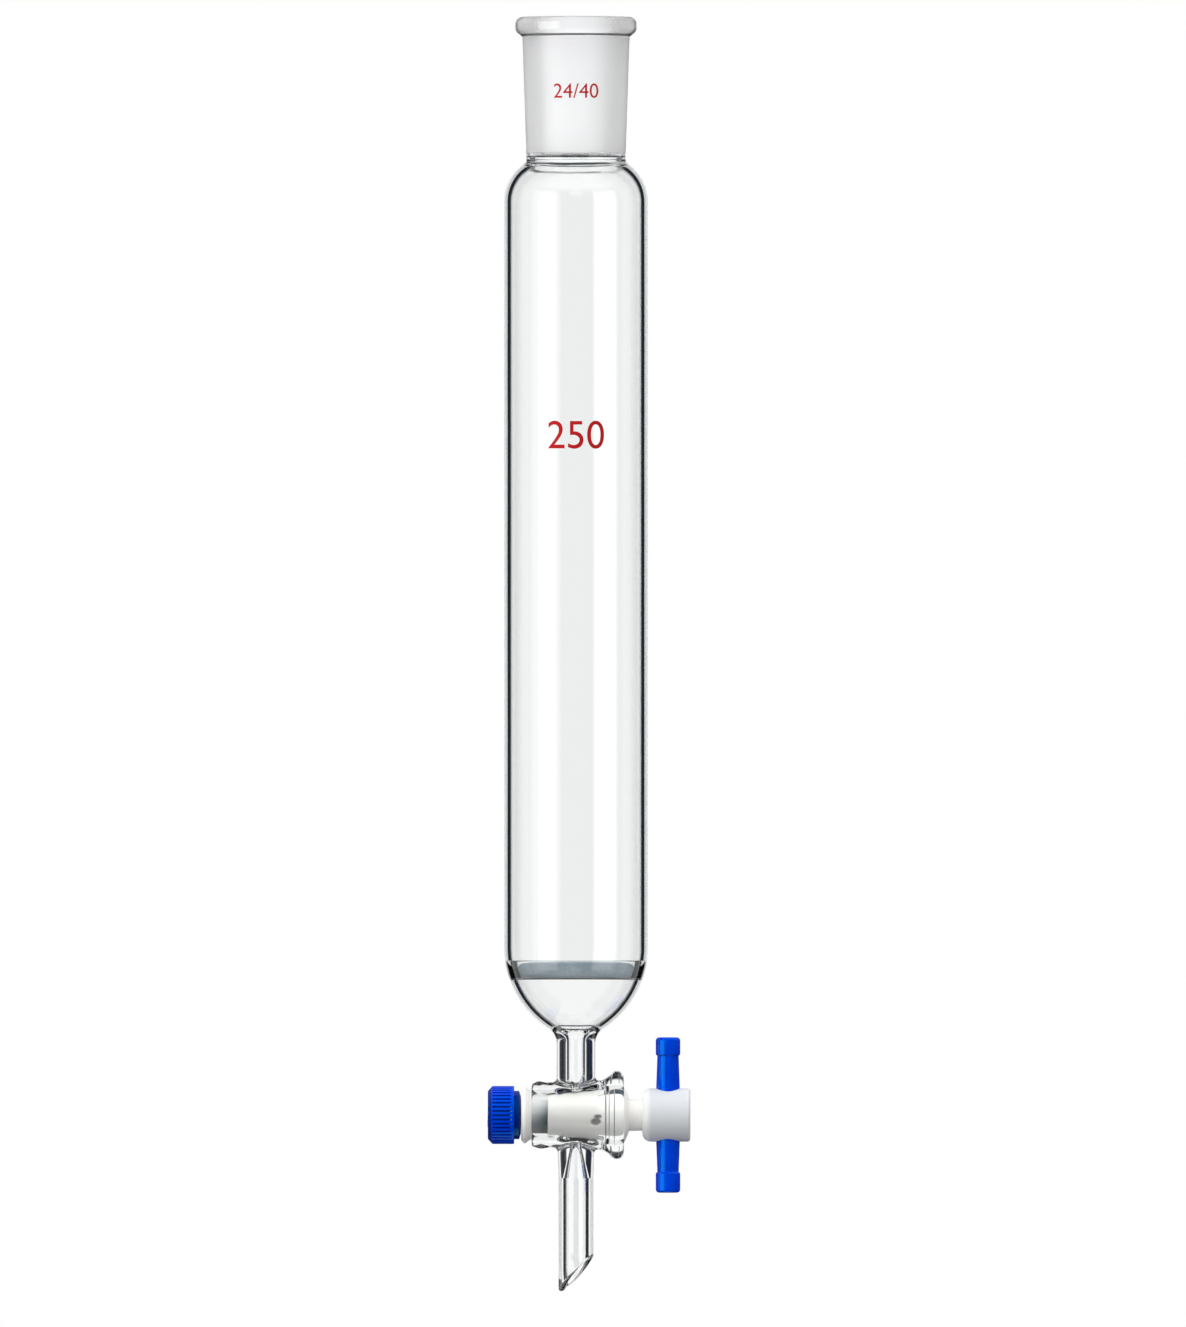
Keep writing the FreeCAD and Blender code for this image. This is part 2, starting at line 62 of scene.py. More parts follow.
SHARP_ANGLE = 32.0
CLOSE = 0.01
LEAST_COSINE = 1e-3
GLASS_INDEX = 1.47

Corner = tuple[float, float, float]
Colour = tuple[float, float, float]
Pair = tuple[float, float]
Stops = tuple[tuple[float, Colour], ...]
Radius = Callable[[np.ndarray], np.ndarray]

log = logging.getLogger("column")


class Side(Enum):
    """The way that a side arm or a hole leaves the stopcock's axis."""

    UP = 1
    DOWN = -1


class Finish(IntEnum):
    """Places of the fused glass's materials."""

    CLEAR = 0
    GROUND = 1
    VEILED = 2
    SHADED = 3
    SHADE_LINED = 4
    COLLAR = 5
    DRIP = 6


def node_box(node: str) -> tuple[np.ndarray, np.ndarray]:
    """Lowest and highest corner of a CAD node, in millimetres."""
    low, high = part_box(node)
    return np.array(low) / MM, np.array(high) / MM


def cosine(degrees: float) -> float:
    """Cosine of an angle in degrees."""
    return math.cos(math.radians(degrees))


def bearing(start: Pair, end: Pair) -> float:
    """Angle of the way from one outline point to another, in radians."""
    return math.atan2(end[1] - start[1], end[0] - start[0])


def arc(centre: Pair, radius: float, start: float, end: float, count: int) -> np.ndarray:
    """Points on a circle, centre + radius * (cos a, sin a), with the angle a running evenly.

    Args:
        centre: middle of the circle.
        radius: its radius.
        start: first angle, in radians.
        end: last angle, in radians.
        count: number of points.

    Returns:
        count x 2 points.
    """
    angles = np.linspace(start, end, count)
    return np.column_stack((centre[0] + radius * np.cos(angles), centre[1] + radius * np.sin(angles)))


def cove_radius(along: float, across: float) -> float:
    """Radius of the circle that leaves a point one way and ends so far along and so far across."""
    return (along ** 2 + across ** 2) / (2 * across)


def rounded(corners: Sequence[Corner], samples: int = 8) -> np.ndarray:
    """Open outline through (u, v, rounding) corners.

    A rounded corner gives way to the circle that touches both its sides: it starts and ends
    rounding / tan(half the corner's angle) away from the corner.

    Args:
        corners: corners in order, with the rounding of each.
        samples: points on each rounded corner.

    Returns:
        n x 2 points.
    """
    parts: list[np.ndarray] = []
    for index, (u, v, rounding) in enumerate(corners):
        if rounding == 0:
            parts.append(np.array([[u, v]]))
            continue
        before = bearing((u, v), corners[index - 1][:2])
        after = bearing((u, v), corners[index + 1][:2])
        turn = (after - before + math.pi) % (2 * math.pi) - math.pi
        half = abs(turn) / 2
        middle = before + turn / 2
        reach = rounding / math.sin(half)
        centre = (u + reach * math.cos(middle), v + reach * math.sin(middle))
        sweep = math.copysign(math.pi - 2 * half, -turn)
        first = middle + math.pi - sweep / 2
        parts.append(arc(centre, rounding, first, first + sweep, samples))
    return np.concatenate(parts)


def ring_angles() -> np.ndarray:
    """Angles round an upright axis of the columns of a ring, starting at a square's corner."""
    return RING_START + np.arange(RING_COLUMNS) * 2 * math.pi / RING_COLUMNS


def turned_about_z(outline: np.ndarray, angles: np.ndarray | None = None,
                   centre_x: float = 0.0) -> np.ndarray:
    """Grid of a surface of revolution about an upright axis: (r cos a, r sin a, z).

    Args:
        outline: rows of (radius, height).
        angles: angles of the columns, in radians, or None for those of a ring.
        centre_x: where the axis stands.

    Returns:
        rows x columns x 3 points.
    """
    angles = ring_angles() if angles is None else angles
    radius, height = outline[:, :1], outline[:, 1:]
    return np.stack((centre_x + radius * np.cos(angles), radius * np.sin(angles),
                     height + np.zeros_like(angles)), axis=-1)


def turned_about_x(length: np.ndarray, radius: np.ndarray, axis_z: float, columns: int) -> np.ndarray:
    """Grid of a surface of revolution about the stopcock's axis: (x, r sin a, axis + r cos a).

    Args:
        length: x of each row.
        radius: radius of each row, or of each row and column.
        axis_z: height of the axis.
        columns: number of columns round the axis, the first one on top.

    Returns:
        rows x columns x 3 points.
    """
    turn = turns(columns)
    radius = radius.reshape(len(length), -1)
    return np.stack((length[:, None] + np.zeros_like(turn), radius * np.sin(turn),
                     axis_z + radius * np.cos(turn)), axis=-1)


def turns(columns: int = TURNED_COLUMNS) -> np.ndarray:
    """Angles of columns round an axis, in radians, the first one on top."""
    return np.arange(columns) * 2 * math.pi / columns


def flat_on_top(height: float) -> np.ndarray:
    """Radius of each column where a flat lies on top, at a height over the axis."""
    return height / np.maximum(np.cos(turns()), LEAST_COSINE)


def profile(x: np.ndarray, radius_at: Radius) -> np.ndarray:
    """Outline rows (x, radius) of a body whose radius is known at each x."""
    return np.column_stack((x, radius_at(x)))


class Skin:
    """Grids of points in millimetres that are welded into one closed mesh in metres."""

    def __init__(self) -> None:
        """Starts with no points."""
        self.points: list[np.ndarray] = []
        self.quads: list[np.ndarray] = []
        self.finishes: list[np.ndarray] = []
        self.count = 0

    def grid(self, points: np.ndarray, keep: np.ndarray | None = None, finish: int = 0) -> None:
        """Adds the four-sided faces between neighbouring rows and columns, the last joined to the first.

        Args:
            points: rows x columns x 3 points.
            keep: rows - 1 x columns mask of the faces to make, or None for all.
            finish: which of the mesh's materials the faces have.
        """
        rows, columns = points.shape[:2]
        index = np.arange(rows * columns).reshape(rows, columns) + self.count
        index = np.column_stack((index, index[:, :1]))
        quads = np.stack((index[:-1, :-1], index[:-1, 1:], index[1:, 1:], index[1:, :-1]), axis=-1)
        quads = quads.reshape(-1, 4) if keep is None else quads[keep]
        self.points.append(points.reshape(-1, 3))
        self.quads.append(quads)
        self.finishes.append(np.full(len(quads), finish))
        self.count += rows * columns

    def make(self, name: str, materials: Sequence[bpy.types.Material],
             hand_work: "HandWork | None" = None) -> bpy.types.Object:
        """Welds the grids, turns the faces outwards and makes the object.

        Args:
            name: the piece's name.
            materials: its materials, in the order of the grids' finishes.
            hand_work: unevenness that the points get.

        Returns:
            The new object, at the origin.
        """
        points = np.concatenate(self.points)
        points = (hand_work.apply(points) if hand_work else points) * MM
        quads = np.concatenate(self.quads)
        mesh = bpy.data.meshes.new(name)
        mesh.vertices.add(len(points))
        mesh.vertices.foreach_set("co", points.ravel())
        mesh.loops.add(quads.size)
        mesh.loops.foreach_set("vertex_index", quads.ravel())
        mesh.polygons.add(len(quads))
        mesh.polygons.foreach_set("loop_start", np.arange(0, quads.size, 4))
        mesh.polygons.foreach_set("material_index", np.concatenate(self.finishes))
        mesh.update(calc_edges=True)
        for material in materials:
            mesh.materials.append(material)
        weld(mesh)
        mesh.shade_smooth()
        mesh.set_sharp_from_angle(angle=math.radians(SHARP_ANGLE))
        piece = bpy.data.objects.new(name, mesh)
        bpy.context.scene.collection.objects.link(piece)
        return piece


@dataclass(frozen=True)
class HandWork:
    """Unevenness that the glassblower leaves on the outside of the barrel.

    A point moves away from the barrel's axis by long waves, height * share * sin(k x + n angle +
    phase), and by round lumps, height * exp(-(distance / size) squared). The move fades out towards
    the bore, the ends and the arms.

    Attributes:
        axis_z: height of the barrel's axis.
        inner, outer: radii between which the move sets in.
        reach, reach_fade: radius where it ends, and how far before that it fades.
        start, start_fade: x where it sets in, and over how much it grows.
        end, end_fade: x where it ends, and over how much it fades.
        wave_height: height of the waves.
        waves: share, k, n and phase of each wave.
        lumps: x, y, height over the axis, height and size of each lump.
    """

    axis_z: float
    inner: float = 8.4
    outer: float = 9.2
    reach: float = 12.5
    reach_fade: float = 1.5
    start: float = -12.9
    start_fade: float = 1.2
    end: float = 7.5
    end_fade: float = 2.0
    wave_height: float = 0.05
    waves: tuple = ((1.0, 0.8, 2, 0.0), (0.6, 1.5, -3, 1.0))
    lumps: tuple = ((-11.0, -1.2, 9.2, 0.6, 1.7), (-7.6, -2.4, 9.0, 0.35, 1.5),
                    (-10.6, -1.6, -9.2, 0.55, 2.0), (-5.9, -3.0, -8.8, 0.3, 1.4))

    def apply(self, points: np.ndarray) -> np.ndarray:
        """Moves points of the glass.

        Args:
            points: n x 3 points in millimetres.

        Returns:
            The moved points.
        """
        x, y, z = points.T
        up = z - self.axis_z
        radius = np.hypot(y, up)
        angle = np.arctan2(y, up)
        fade = np.clip((radius - self.inner) / (self.outer - self.inner), 0, 1)
        fade *= np.clip((self.reach - radius) / self.reach_fade, 0, 1)
        fade *= np.clip((x - self.start) / self.start_fade, 0, 1)
        fade *= np.clip((self.end - x) / self.end_fade, 0, 1)
        move = self.wave_height * sum(share * np.sin(along * x + round_axis * angle + phase)
                                      for share, along, round_axis, phase in self.waves)
        for lump_x, lump_y, lump_up, height, size in self.lumps:
            away = (x - lump_x) ** 2 + (y - lump_y) ** 2 + (up - lump_up) ** 2
            move = move + height * np.exp(-away / size ** 2)
        share = 1 + move * fade / np.maximum(radius, 1.0)
        return np.column_stack((x, y * share, self.axis_z + up * share))


def one_grid(name: str, material: bpy.types.Material, points: np.ndarray) -> bpy.types.Object:
    """Makes a piece of one grid and one material."""
    skin = Skin()
    skin.grid(points)
    return skin.make(name, (material,))


def weld(mesh: bpy.types.Mesh) -> None:
    """Merges points that lie together, drops faces with no area and turns the rest outwards.

    Args:
        mesh: the mesh to change, in metres.
    """
    work = bmesh.new()
    work.from_mesh(mesh)
    bmesh.ops.remove_doubles(work, verts=work.verts, dist=WELD_DISTANCE)
    bmesh.ops.dissolve_degenerate(work, dist=WELD_DISTANCE / 10, edges=work.edges)
    bmesh.ops.recalc_face_normals(work, faces=work.faces)
    if work.calc_volume(signed=True) < 0:
        bmesh.ops.reverse_faces(work, faces=work.faces)
    open_edges = sum(not edge.is_manifold for edge in work.edges)
    log.info("%s: %d faces, %d open edges, volume %.2f cm3", mesh.name, len(work.faces), open_edges,
             work.calc_volume() * 1e6)
    work.to_mesh(mesh)
    work.free()


@dataclass(frozen=True)
class SideHole:
    """Square opening in a body turned about X, closed by a patch down to a round hole.

    Attributes:
        rows: first row of the square in the body's grid; it spans SIDE_CELLS rows.
        side: whether it is on top of the body or below.
        centre_x: where the round hole's axis stands.
        radius: radius of the round hole.
    """

    rows: int
    side: Side
    centre_x: float
    radius: float

    def columns(self) -> np.ndarray:
        """Columns of the square's corners, in the order of rising y."""
        half = SIDE_CELLS // 2
        middle = 0 if self.side is Side.UP else TURNED_COLUMNS // 2
        span = np.arange(-half, half + 1) * self.side.value
        return (middle + span) % TURNED_COLUMNS

    def cut(self, keep: np.ndarray) -> None:
        """Clears the square's faces in the body's mask.

        Args:
            keep: rows - 1 x columns mask of the body's faces.
        """
        columns = self.columns()
        faces = np.minimum(columns[:-1], columns[1:])
        wrapped = np.abs(columns[:-1] - columns[1:]) > 1
        faces = np.where(wrapped, TURNED_COLUMNS - 1, faces)
        keep[np.ix_(np.arange(self.rows, self.rows + SIDE_CELLS), faces)] = False

    def rim(self, points: np.ndarray) -> np.ndarray:
        """Points on the square's outline, anticlockwise from the corner at high x and high y.

        Args:
            points: the body's grid.

        Returns:
            RING_COLUMNS x 3 points.
        """
        patch = points[self.rows:self.rows + SIDE_CELLS + 1][:, self.columns()]
        if patch[0, 0, 0] > patch[-1, 0, 0]:
            patch = patch[::-1]
        return np.concatenate((patch[SIDE_CELLS:0:-1, SIDE_CELLS], patch[0, SIDE_CELLS:0:-1],
                               patch[:SIDE_CELLS, 0], patch[SIDE_CELLS, :SIDE_CELLS]))

    def patch(self, points: np.ndarray, radius_at: Radius, axis_z: float, rows: int = 9) -> np.ndarray:
        """Grid from the square to the round hole, on the body's own surface.

        Seen along the hole, each row is a blend of the square and the circle, and its height is
        the root of (radius of the body there squared - y squared).

        Args:
            points: the body's grid.
            radius_at: radius of the body at each x.
            axis_z: height of the body's axis.
            rows: rows of the grid.

        Returns:
            rows x RING_COLUMNS x 3 points, ending on the hole's edge.
        """
        rim = self.rim(points)
        angles = ring_angles()
        share = np.linspace(0, 1, rows)[:, None]
        x = (1 - share) * rim[:, 0] + share * (self.centre_x + self.radius * np.cos(angles))
        y = (1 - share) * rim[:, 1] + share * self.radius * np.sin(angles)
        height = np.sqrt(radius_at(x) ** 2 - y ** 2)
        grid = np.stack((x, y, axis_z + self.side.value * height), axis=-1)
        grid[0] = rim
        return grid


def level_rings(outline: Sequence[Pair], axis_z: float, side: Side, centre_x: float = 0.0) -> np.ndarray:
    """Rings round an upright axis, given as (radius, height from the stopcock's axis)."""
    rows = np.array([(radius, axis_z + side.value * height) for radius, height in outline])
    return turned_about_z(rows, centre_x=centre_x)


class Value:
    """Output of a node. Sums, differences and products of values are Math nodes."""

    def __init__(self, graph: "Graph", socket: bpy.types.NodeSocket) -> None:
        """Wraps an output socket of a graph."""
        self.graph = graph
        self.socket = socket

    def __add__(self, other: "Value | float") -> "Value":
        """Sum with a value or number."""
        return self.graph.calculate("ADD", self, other)

    def __sub__(self, other: "Value | float") -> "Value":
        """Difference from a value or number."""
        return self.graph.calculate("SUBTRACT", self, other)

    def __rsub__(self, other: float) -> "Value":
        """Number less this value."""
        return self.graph.calculate("SUBTRACT", other, self)

    def __mul__(self, other: "Value | float") -> "Value":
        """Product with a value or number."""
        return self.graph.calculate("MULTIPLY", self, other)

    def __abs__(self) -> "Value":
        """Value without its sign."""
        return self.graph.calculate("ABSOLUTE", self)


class Graph:
    """Short calls that add nodes to a node tree."""

    def __init__(self, tree: bpy.types.NodeTree) -> None:
        """Empties a tree.

        Args:
            tree: the nodes of a material or of the world.
        """
        self.tree = tree
        self.tree.nodes.clear()

    def node(self, kind: str, inputs: dict | None = None, **settings: object) -> bpy.types.Node:
        """Adds a node.

        Args:
            kind: the node's type.
            inputs: numbers, colours or values, by the name or number of the input.
            settings: the node's own properties.

        Returns:
            The node.
        """
        node = self.tree.nodes.new(kind)
        for key, setting in settings.items():
            setattr(node, key, setting)
        for key, given in (inputs or {}).items():
            if isinstance(given, Value):
                self.tree.links.new(given.socket, node.inputs[key])
            else:
                node.inputs[key].default_value = given
        return node

    def value(self, kind: str, output: str | int, inputs: dict | None = None, **settings: object) -> Value:
        """Adds a node and returns one of its outputs.

        Args:
            kind: the node's type.
            output: name or number of the output.
            inputs: as for node.
            settings: as for node.
        """
        return Value(self, self.node(kind, inputs, **settings).outputs[output])

    def calculate(self, operation: str, *values: Value | float) -> Value:
        """Math node on values or numbers."""
        return self.value("ShaderNodeMath", 0, dict(enumerate(values)), operation=operation)

    def vectors(self, operation: str, output: str, *values: Value | Corner) -> Value:
        """Vector Math node on values or vectors, with its output named."""
        return self.value("ShaderNodeVectorMath", output, dict(enumerate(values)), operation=operation)

    def spread(self, value: Value, low: float, high: float, start: float = 0.0, end: float = 1.0) -> Value:
        """Maps a value from one range to another, held at the ends."""
        return self.value("ShaderNodeMapRange", "Result", {
            "Value": value, "From Min": start, "From Max": end, "To Min": low, "To Max": high})

    def step(self, value: Value, start: float, end: float) -> Value:
        """Smooth rise from 0 at start to 1 at end, or a fall where end is lower."""
        falls = end < start
        return self.value("ShaderNodeMapRange", "Result", {
            "Value": value, "From Min": min(start, end), "From Max": max(start, end),
            "To Min": float(falls), "To Max": float(not falls)}, interpolation_type="SMOOTHSTEP")

    def choose(self, test: Value, yes: Value | float, no: Value | float) -> Value:
        """yes where the test is 1, and no where it is 0."""
        return test * yes + (1.0 - test) * no


class Nodes(Graph):
    """Nodes of one material, on the object's own coordinates in metres."""

    def __init__(self, name: str) -> None:
        """Makes an empty material.

        Args:
            name: the material's name.
        """
        self.material = bpy.data.materials.new(name)
        self.material.use_nodes = True
        super().__init__(self.material.node_tree)
        self.output = self.tree.nodes.new("ShaderNodeOutputMaterial")
        self.coordinates = self.value("ShaderNodeTexCoord", "Object")

    def along(self, axis: str) -> Value:
        """Coordinate X, Y or Z."""
        return self.value("ShaderNodeSeparateXYZ", axis, {0: self.coordinates})

    def noise(self, scale: float, detail: float = 3.0, stretch: Corner | None = None) -> Value:
        """Grey noise, with the scale in waves to a metre, stretched on each axis where asked."""
        place = self.coordinates
        if stretch:
            place = self.value("ShaderNodeMapping", "Vector", {"Vector": place, "Scale": stretch})
        return self.value("ShaderNodeTexNoise", "Fac", {"Vector": place, "Scale": scale, "Detail": detail})

    def band(self, value: Value, middle: float, half: float) -> Value:
        """1 where a value lies near the middle, and 0 from a half-width away from it."""
        return self.spread(abs(value - middle), 1.0, 0.0, half / 2, half)

    def blend(self, share: Value, first: Value | Colour, second: Value | Colour) -> Value:
        """Colour that runs from the first to the second as the share runs from 0 to 1."""
        colours = {key: colour if isinstance(colour, Value) else (*colour, 1.0)
                   for key, colour in ((6, first), (7, second))}
        return self.value("ShaderNodeMix", 2, {"Factor": share, **colours}, data_type="RGBA")

    def ramp(self, value: Value, stops: Stops) -> Value:
        """Colour ramp through (place, colour) stops."""
        node = self.node("ShaderNodeValToRGB", {"Fac": value})
        elements = node.color_ramp.elements
        while len(elements) < len(stops):
            elements.new(0.5)
        for element, (place, colour) in zip(elements, stops):
            element.position = place
            element.color = (*colour, 1.0)
        return Value(self, node.outputs["Color"])

    def bump(self, height: Value, distance: float, strength: float = 1.0) -> Value:
        """Bump from a height, with the distance in metres."""
        return self.value("ShaderNodeBump", "Normal", {
            "Height": height, "Distance": distance, "Strength": strength})

    def principled(self, inputs: dict) -> bpy.types.Material:
        """Ends the material in a Principled shader with these inputs."""
        shader = self.node("ShaderNodeBsdfPrincipled", inputs)
        self.tree.links.new(shader.outputs["BSDF"], self.output.inputs["Surface"])
        return self.material


@dataclass(frozen=True)
class ClearGlass:
    """Clear fire-polished glass with the faint unevenness of hand work."""

    index: float = GLASS_INDEX
    tint: Colour = (0.985, 0.995, 0.992)
    wave_height: float = 0.00002
    waves_per_metre: float = 70.0
    wave_stretch: Corner = (1.0, 1.0, 0.25)

    def waves(self, nodes: Nodes) -> Value:
        """Bump of long waves up the tube."""
        return nodes.bump(nodes.noise(self.waves_per_metre, 1.0, self.wave_stretch), self.wave_height)

    def make(self, name: str = "clear_glass") -> bpy.types.Material:
        """Builds the material under a name."""
        nodes = Nodes(name)
        return nodes.principled({
            "Base Color": (*self.tint, 1.0), "Roughness": 0.0, "IOR": self.index,
            "Transmission Weight": 1.0, "Normal": self.waves(nodes)})


@dataclass(frozen=True)
class PaintedShadeLine:
    """Painted shade line on the glass: a dark band in place of the dark lines that refraction and reflection
    draw.

    Attributes:
        place: where it lies, in millimetres.
        half: half its width, in millimetres.
        uneven: whether it wanders, and fades in places.
    """

    place: float
    half: float
    uneven: bool = False


@dataclass(frozen=True)
class ShadeLinedGlass:
    """Clear glass with painted shade lines, dark bands in place of the lines that refraction and reflection
    draw.
    """

    glass: ClearGlass = ClearGlass()
    # Colour of the painted shade lines.
    line: Colour = (0.012, 0.022, 0.028)
    wander: float = 0.25
    wanders_per_metre: float = 90.0
    fades_per_metre: float = 38.0
    faintest: float = 0.25
    cloud_range: Pair = (0.3, 0.7)
    fade_range: Pair = (0.42, 0.52)

    def make(self, name: str, axis: str, shade_lines: Sequence[PaintedShadeLine],
             level: Pair | None = None) -> bpy.types.Material:
        """Builds the material.

        Args:
            name: its name.
            axis: "X" or "Z", the way that the lines follow each other.
            shade_lines: the lines.
            level: height that the lines keep near to, and how far they reach from it, or None.

        Returns:
            The material.
        """
        nodes = Nodes(name)
        place = nodes.along(axis)
        cloud = nodes.noise(self.wanders_per_metre, 2.0)
        wandering = place + nodes.spread(cloud, -self.wander * MM, self.wander * MM, *self.cloud_range)
        fading = nodes.spread(nodes.noise(self.fades_per_metre, 1.0), self.faintest, 1.0, *self.fade_range)
        share = None
        for shade_line in shade_lines:
            line = nodes.band(wandering if shade_line.uneven else place, shade_line.place * MM, shade_line.half * MM)
            line = line * fading if shade_line.uneven else line
            share = nodes.calculate("MAXIMUM", line, share) if share else line
        if level:
            share = nodes.band(nodes.along("Z"), level[0] * MM, level[1] * MM) * share
        # Painted shade: the glass turns dark and opaque along each line.
        return nodes.principled({
            "Base Color": nodes.blend(share, self.glass.tint, self.line), "Roughness": 0.0,
            "IOR": self.glass.index, "Transmission Weight": nodes.spread(share, 1.0, 0.0),
            "Normal": self.glass.waves(nodes)})


@dataclass(frozen=True)
class GroundGlass:
    """Ground inner face of the joint: matt white grain that scatters what passes."""

    index: float = GLASS_INDEX
    roughness: Pair = (0.54, 0.70)
    grain_per_metre: float = 5200.0
    grain_height: float = 0.00003
    clouds_per_metre: float = 160.0
    whites: Stops = ((0.3, (0.93, 0.94, 0.94)), (0.7, (0.99, 0.99, 0.99)))

    def make(self) -> bpy.types.Material:
        """Builds the material."""
        nodes = Nodes("ground_glass")
        grain = nodes.noise(self.grain_per_metre, 2.0)
        cloud = nodes.noise(self.clouds_per_metre, 4.0)
        return nodes.principled({
            "Base Color": nodes.ramp(cloud, self.whites),
            "Roughness": nodes.spread(cloud, *self.roughness), "IOR": self.index,
            "Transmission Weight": 1.0, "Normal": nodes.bump(grain, self.grain_height)})


@dataclass(frozen=True)
class VeiledGlass:
    """Outer face of the joint: smooth, but veiled white by the ground face behind it.

    The painted shade line and the step in roughness are given by how far they lie under the rim, in
    millimetres.
    """

    index: float = GLASS_INDEX
    clear_share: float = 0.84
    roughness: float = 0.4
    rim_roughness: float = 0.16
    rough_drop: float = 7.0
    smooth_drop: float = 5.0
    shade_line_drop: float = 5.45
    shade_line_half: float = 0.42
    shade_line_colour: Colour = (0.05, 0.055, 0.06)
    whites: Stops = ((0.0, (0.95, 0.95, 0.955)), (1.0, (0.84, 0.84, 0.85)))
    height_share: float = 0.8
    cloud_range: Pair = (0.3, 0.7)
    clouds_per_metre: float = 60.0
    cloud_stretch: Corner = (1.0, 1.0, 0.5)

    def make(self, low_z: float, high_z: float) -> bpy.types.Material:
        """Builds the material, a little greyer towards the rim.

        Args:
            low_z: height of the joint's foot, in metres.
            high_z: height of its rim, in metres.
        """
        nodes = Nodes("veiled_glass")
        height = nodes.along("Z")
        cloud = nodes.noise(self.clouds_per_metre, 3.0, self.cloud_stretch)
        place = nodes.spread(height, 0.0, self.height_share, low_z, high_z)
        place += nodes.spread(cloud, 0.0, 1.0 - self.height_share, *self.cloud_range)
        # Painted shade: a thin dark band a little under the rim.
        shade_line = nodes.band(height, high_z - self.shade_line_drop * MM, self.shade_line_half * MM)
        return nodes.principled({
            "Base Color": nodes.blend(shade_line, nodes.ramp(place, self.whites), self.shade_line_colour),
            "IOR": self.index, "Transmission Weight": self.clear_share,
            "Roughness": nodes.spread(height, self.roughness, self.rim_roughness,
                                      high_z - self.rough_drop * MM, high_z - self.smooth_drop * MM)})


@dataclass(frozen=True)
class PaintedShadeBore:
    """Bore of the barrel between washer and plug, painted with the light and shade of the gap.

    Heights are measured from the bore's axis, in millimetres.
    """

    stops: Stops = (
        (0.0, (0.93, 0.94, 0.94)), (0.3, (0.55, 0.57, 0.58)), (0.6, (0.13, 0.15, 0.16)),
        (0.8, (0.02, 0.032, 0.038)), (0.9, (0.02, 0.032, 0.038)), (1.0, (0.10, 0.13, 0.13)))
    share_along: float = 0.4
    share_down: float = 0.5
    light_height: float = 3.4
    dark_height: float = -2.6
    middle_height: float = -0.3
    half_height: float = 4.3
    edge: float = 0.1
    roughness: float = 0.03
    clouds_per_metre: float = 240.0
    cloud_share: float = 0.04

    def make(self, light_x: float, dark_x: float, axis_z: float) -> bpy.types.Material:
        """Builds the material: painted light at the washer and on top, painted shade at the plug and below.

        Args:
            light_x: where the bore is lightest, in metres.
            dark_x: where it is darkest.
            axis_z: height of its axis.
        """
        nodes = Nodes("painted_shade_bore")
        height = nodes.along("Z")
        along = nodes.spread(nodes.along("X"), 0.0, self.share_along, light_x, dark_x)
        down = nodes.spread(height, 0.0, self.share_down, axis_z + self.light_height * MM,
                            axis_z + self.dark_height * MM)
        cloud = nodes.spread(nodes.noise(self.clouds_per_metre), -self.cloud_share, self.cloud_share)
        colour = nodes.ramp(along + down + cloud, self.stops)
        clear = nodes.spread(abs(height - (axis_z + self.middle_height * MM)), 0.0, 1.0,
                             (self.half_height - self.edge) * MM, (self.half_height + self.edge) * MM)
        return nodes.principled({
            "Base Color": nodes.blend(clear, colour, (1.0, 1.0, 1.0)), "Roughness": self.roughness,
            "IOR": GLASS_INDEX, "Transmission Weight": clear})


@dataclass(frozen=True)
class SinteredGlass:
    """Fritted disc: grains of glass fused together, blue-grey and matt."""

    greys: Stops = ((0.25, (0.23, 0.29, 0.34)), (0.95, (0.42, 0.49, 0.54)))
    grain_share: float = 0.35
    grain_reach: float = 0.7
    grains_per_metre: float = 2600.0
    grain_height: float = 0.00012
    clouds_per_metre: float = 110.0

    def make(self) -> bpy.types.Material:
        """Builds the material."""
        nodes = Nodes("sintered_glass")
        grains = nodes.value("ShaderNodeTexVoronoi", "Distance", {
            "Vector": nodes.coordinates, "Scale": self.grains_per_metre, "Randomness": 1.0})
        place = nodes.spread(grains, self.grain_share, 0.0, 0.0, self.grain_reach)
        place += nodes.noise(self.clouds_per_metre, 5.0)
        return nodes.principled({
            "Base Color": nodes.ramp(place, self.greys), "Roughness": 0.55, "IOR": GLASS_INDEX,
            "Specular IOR Level": 0.5, "Normal": nodes.bump(grains, self.grain_height)})


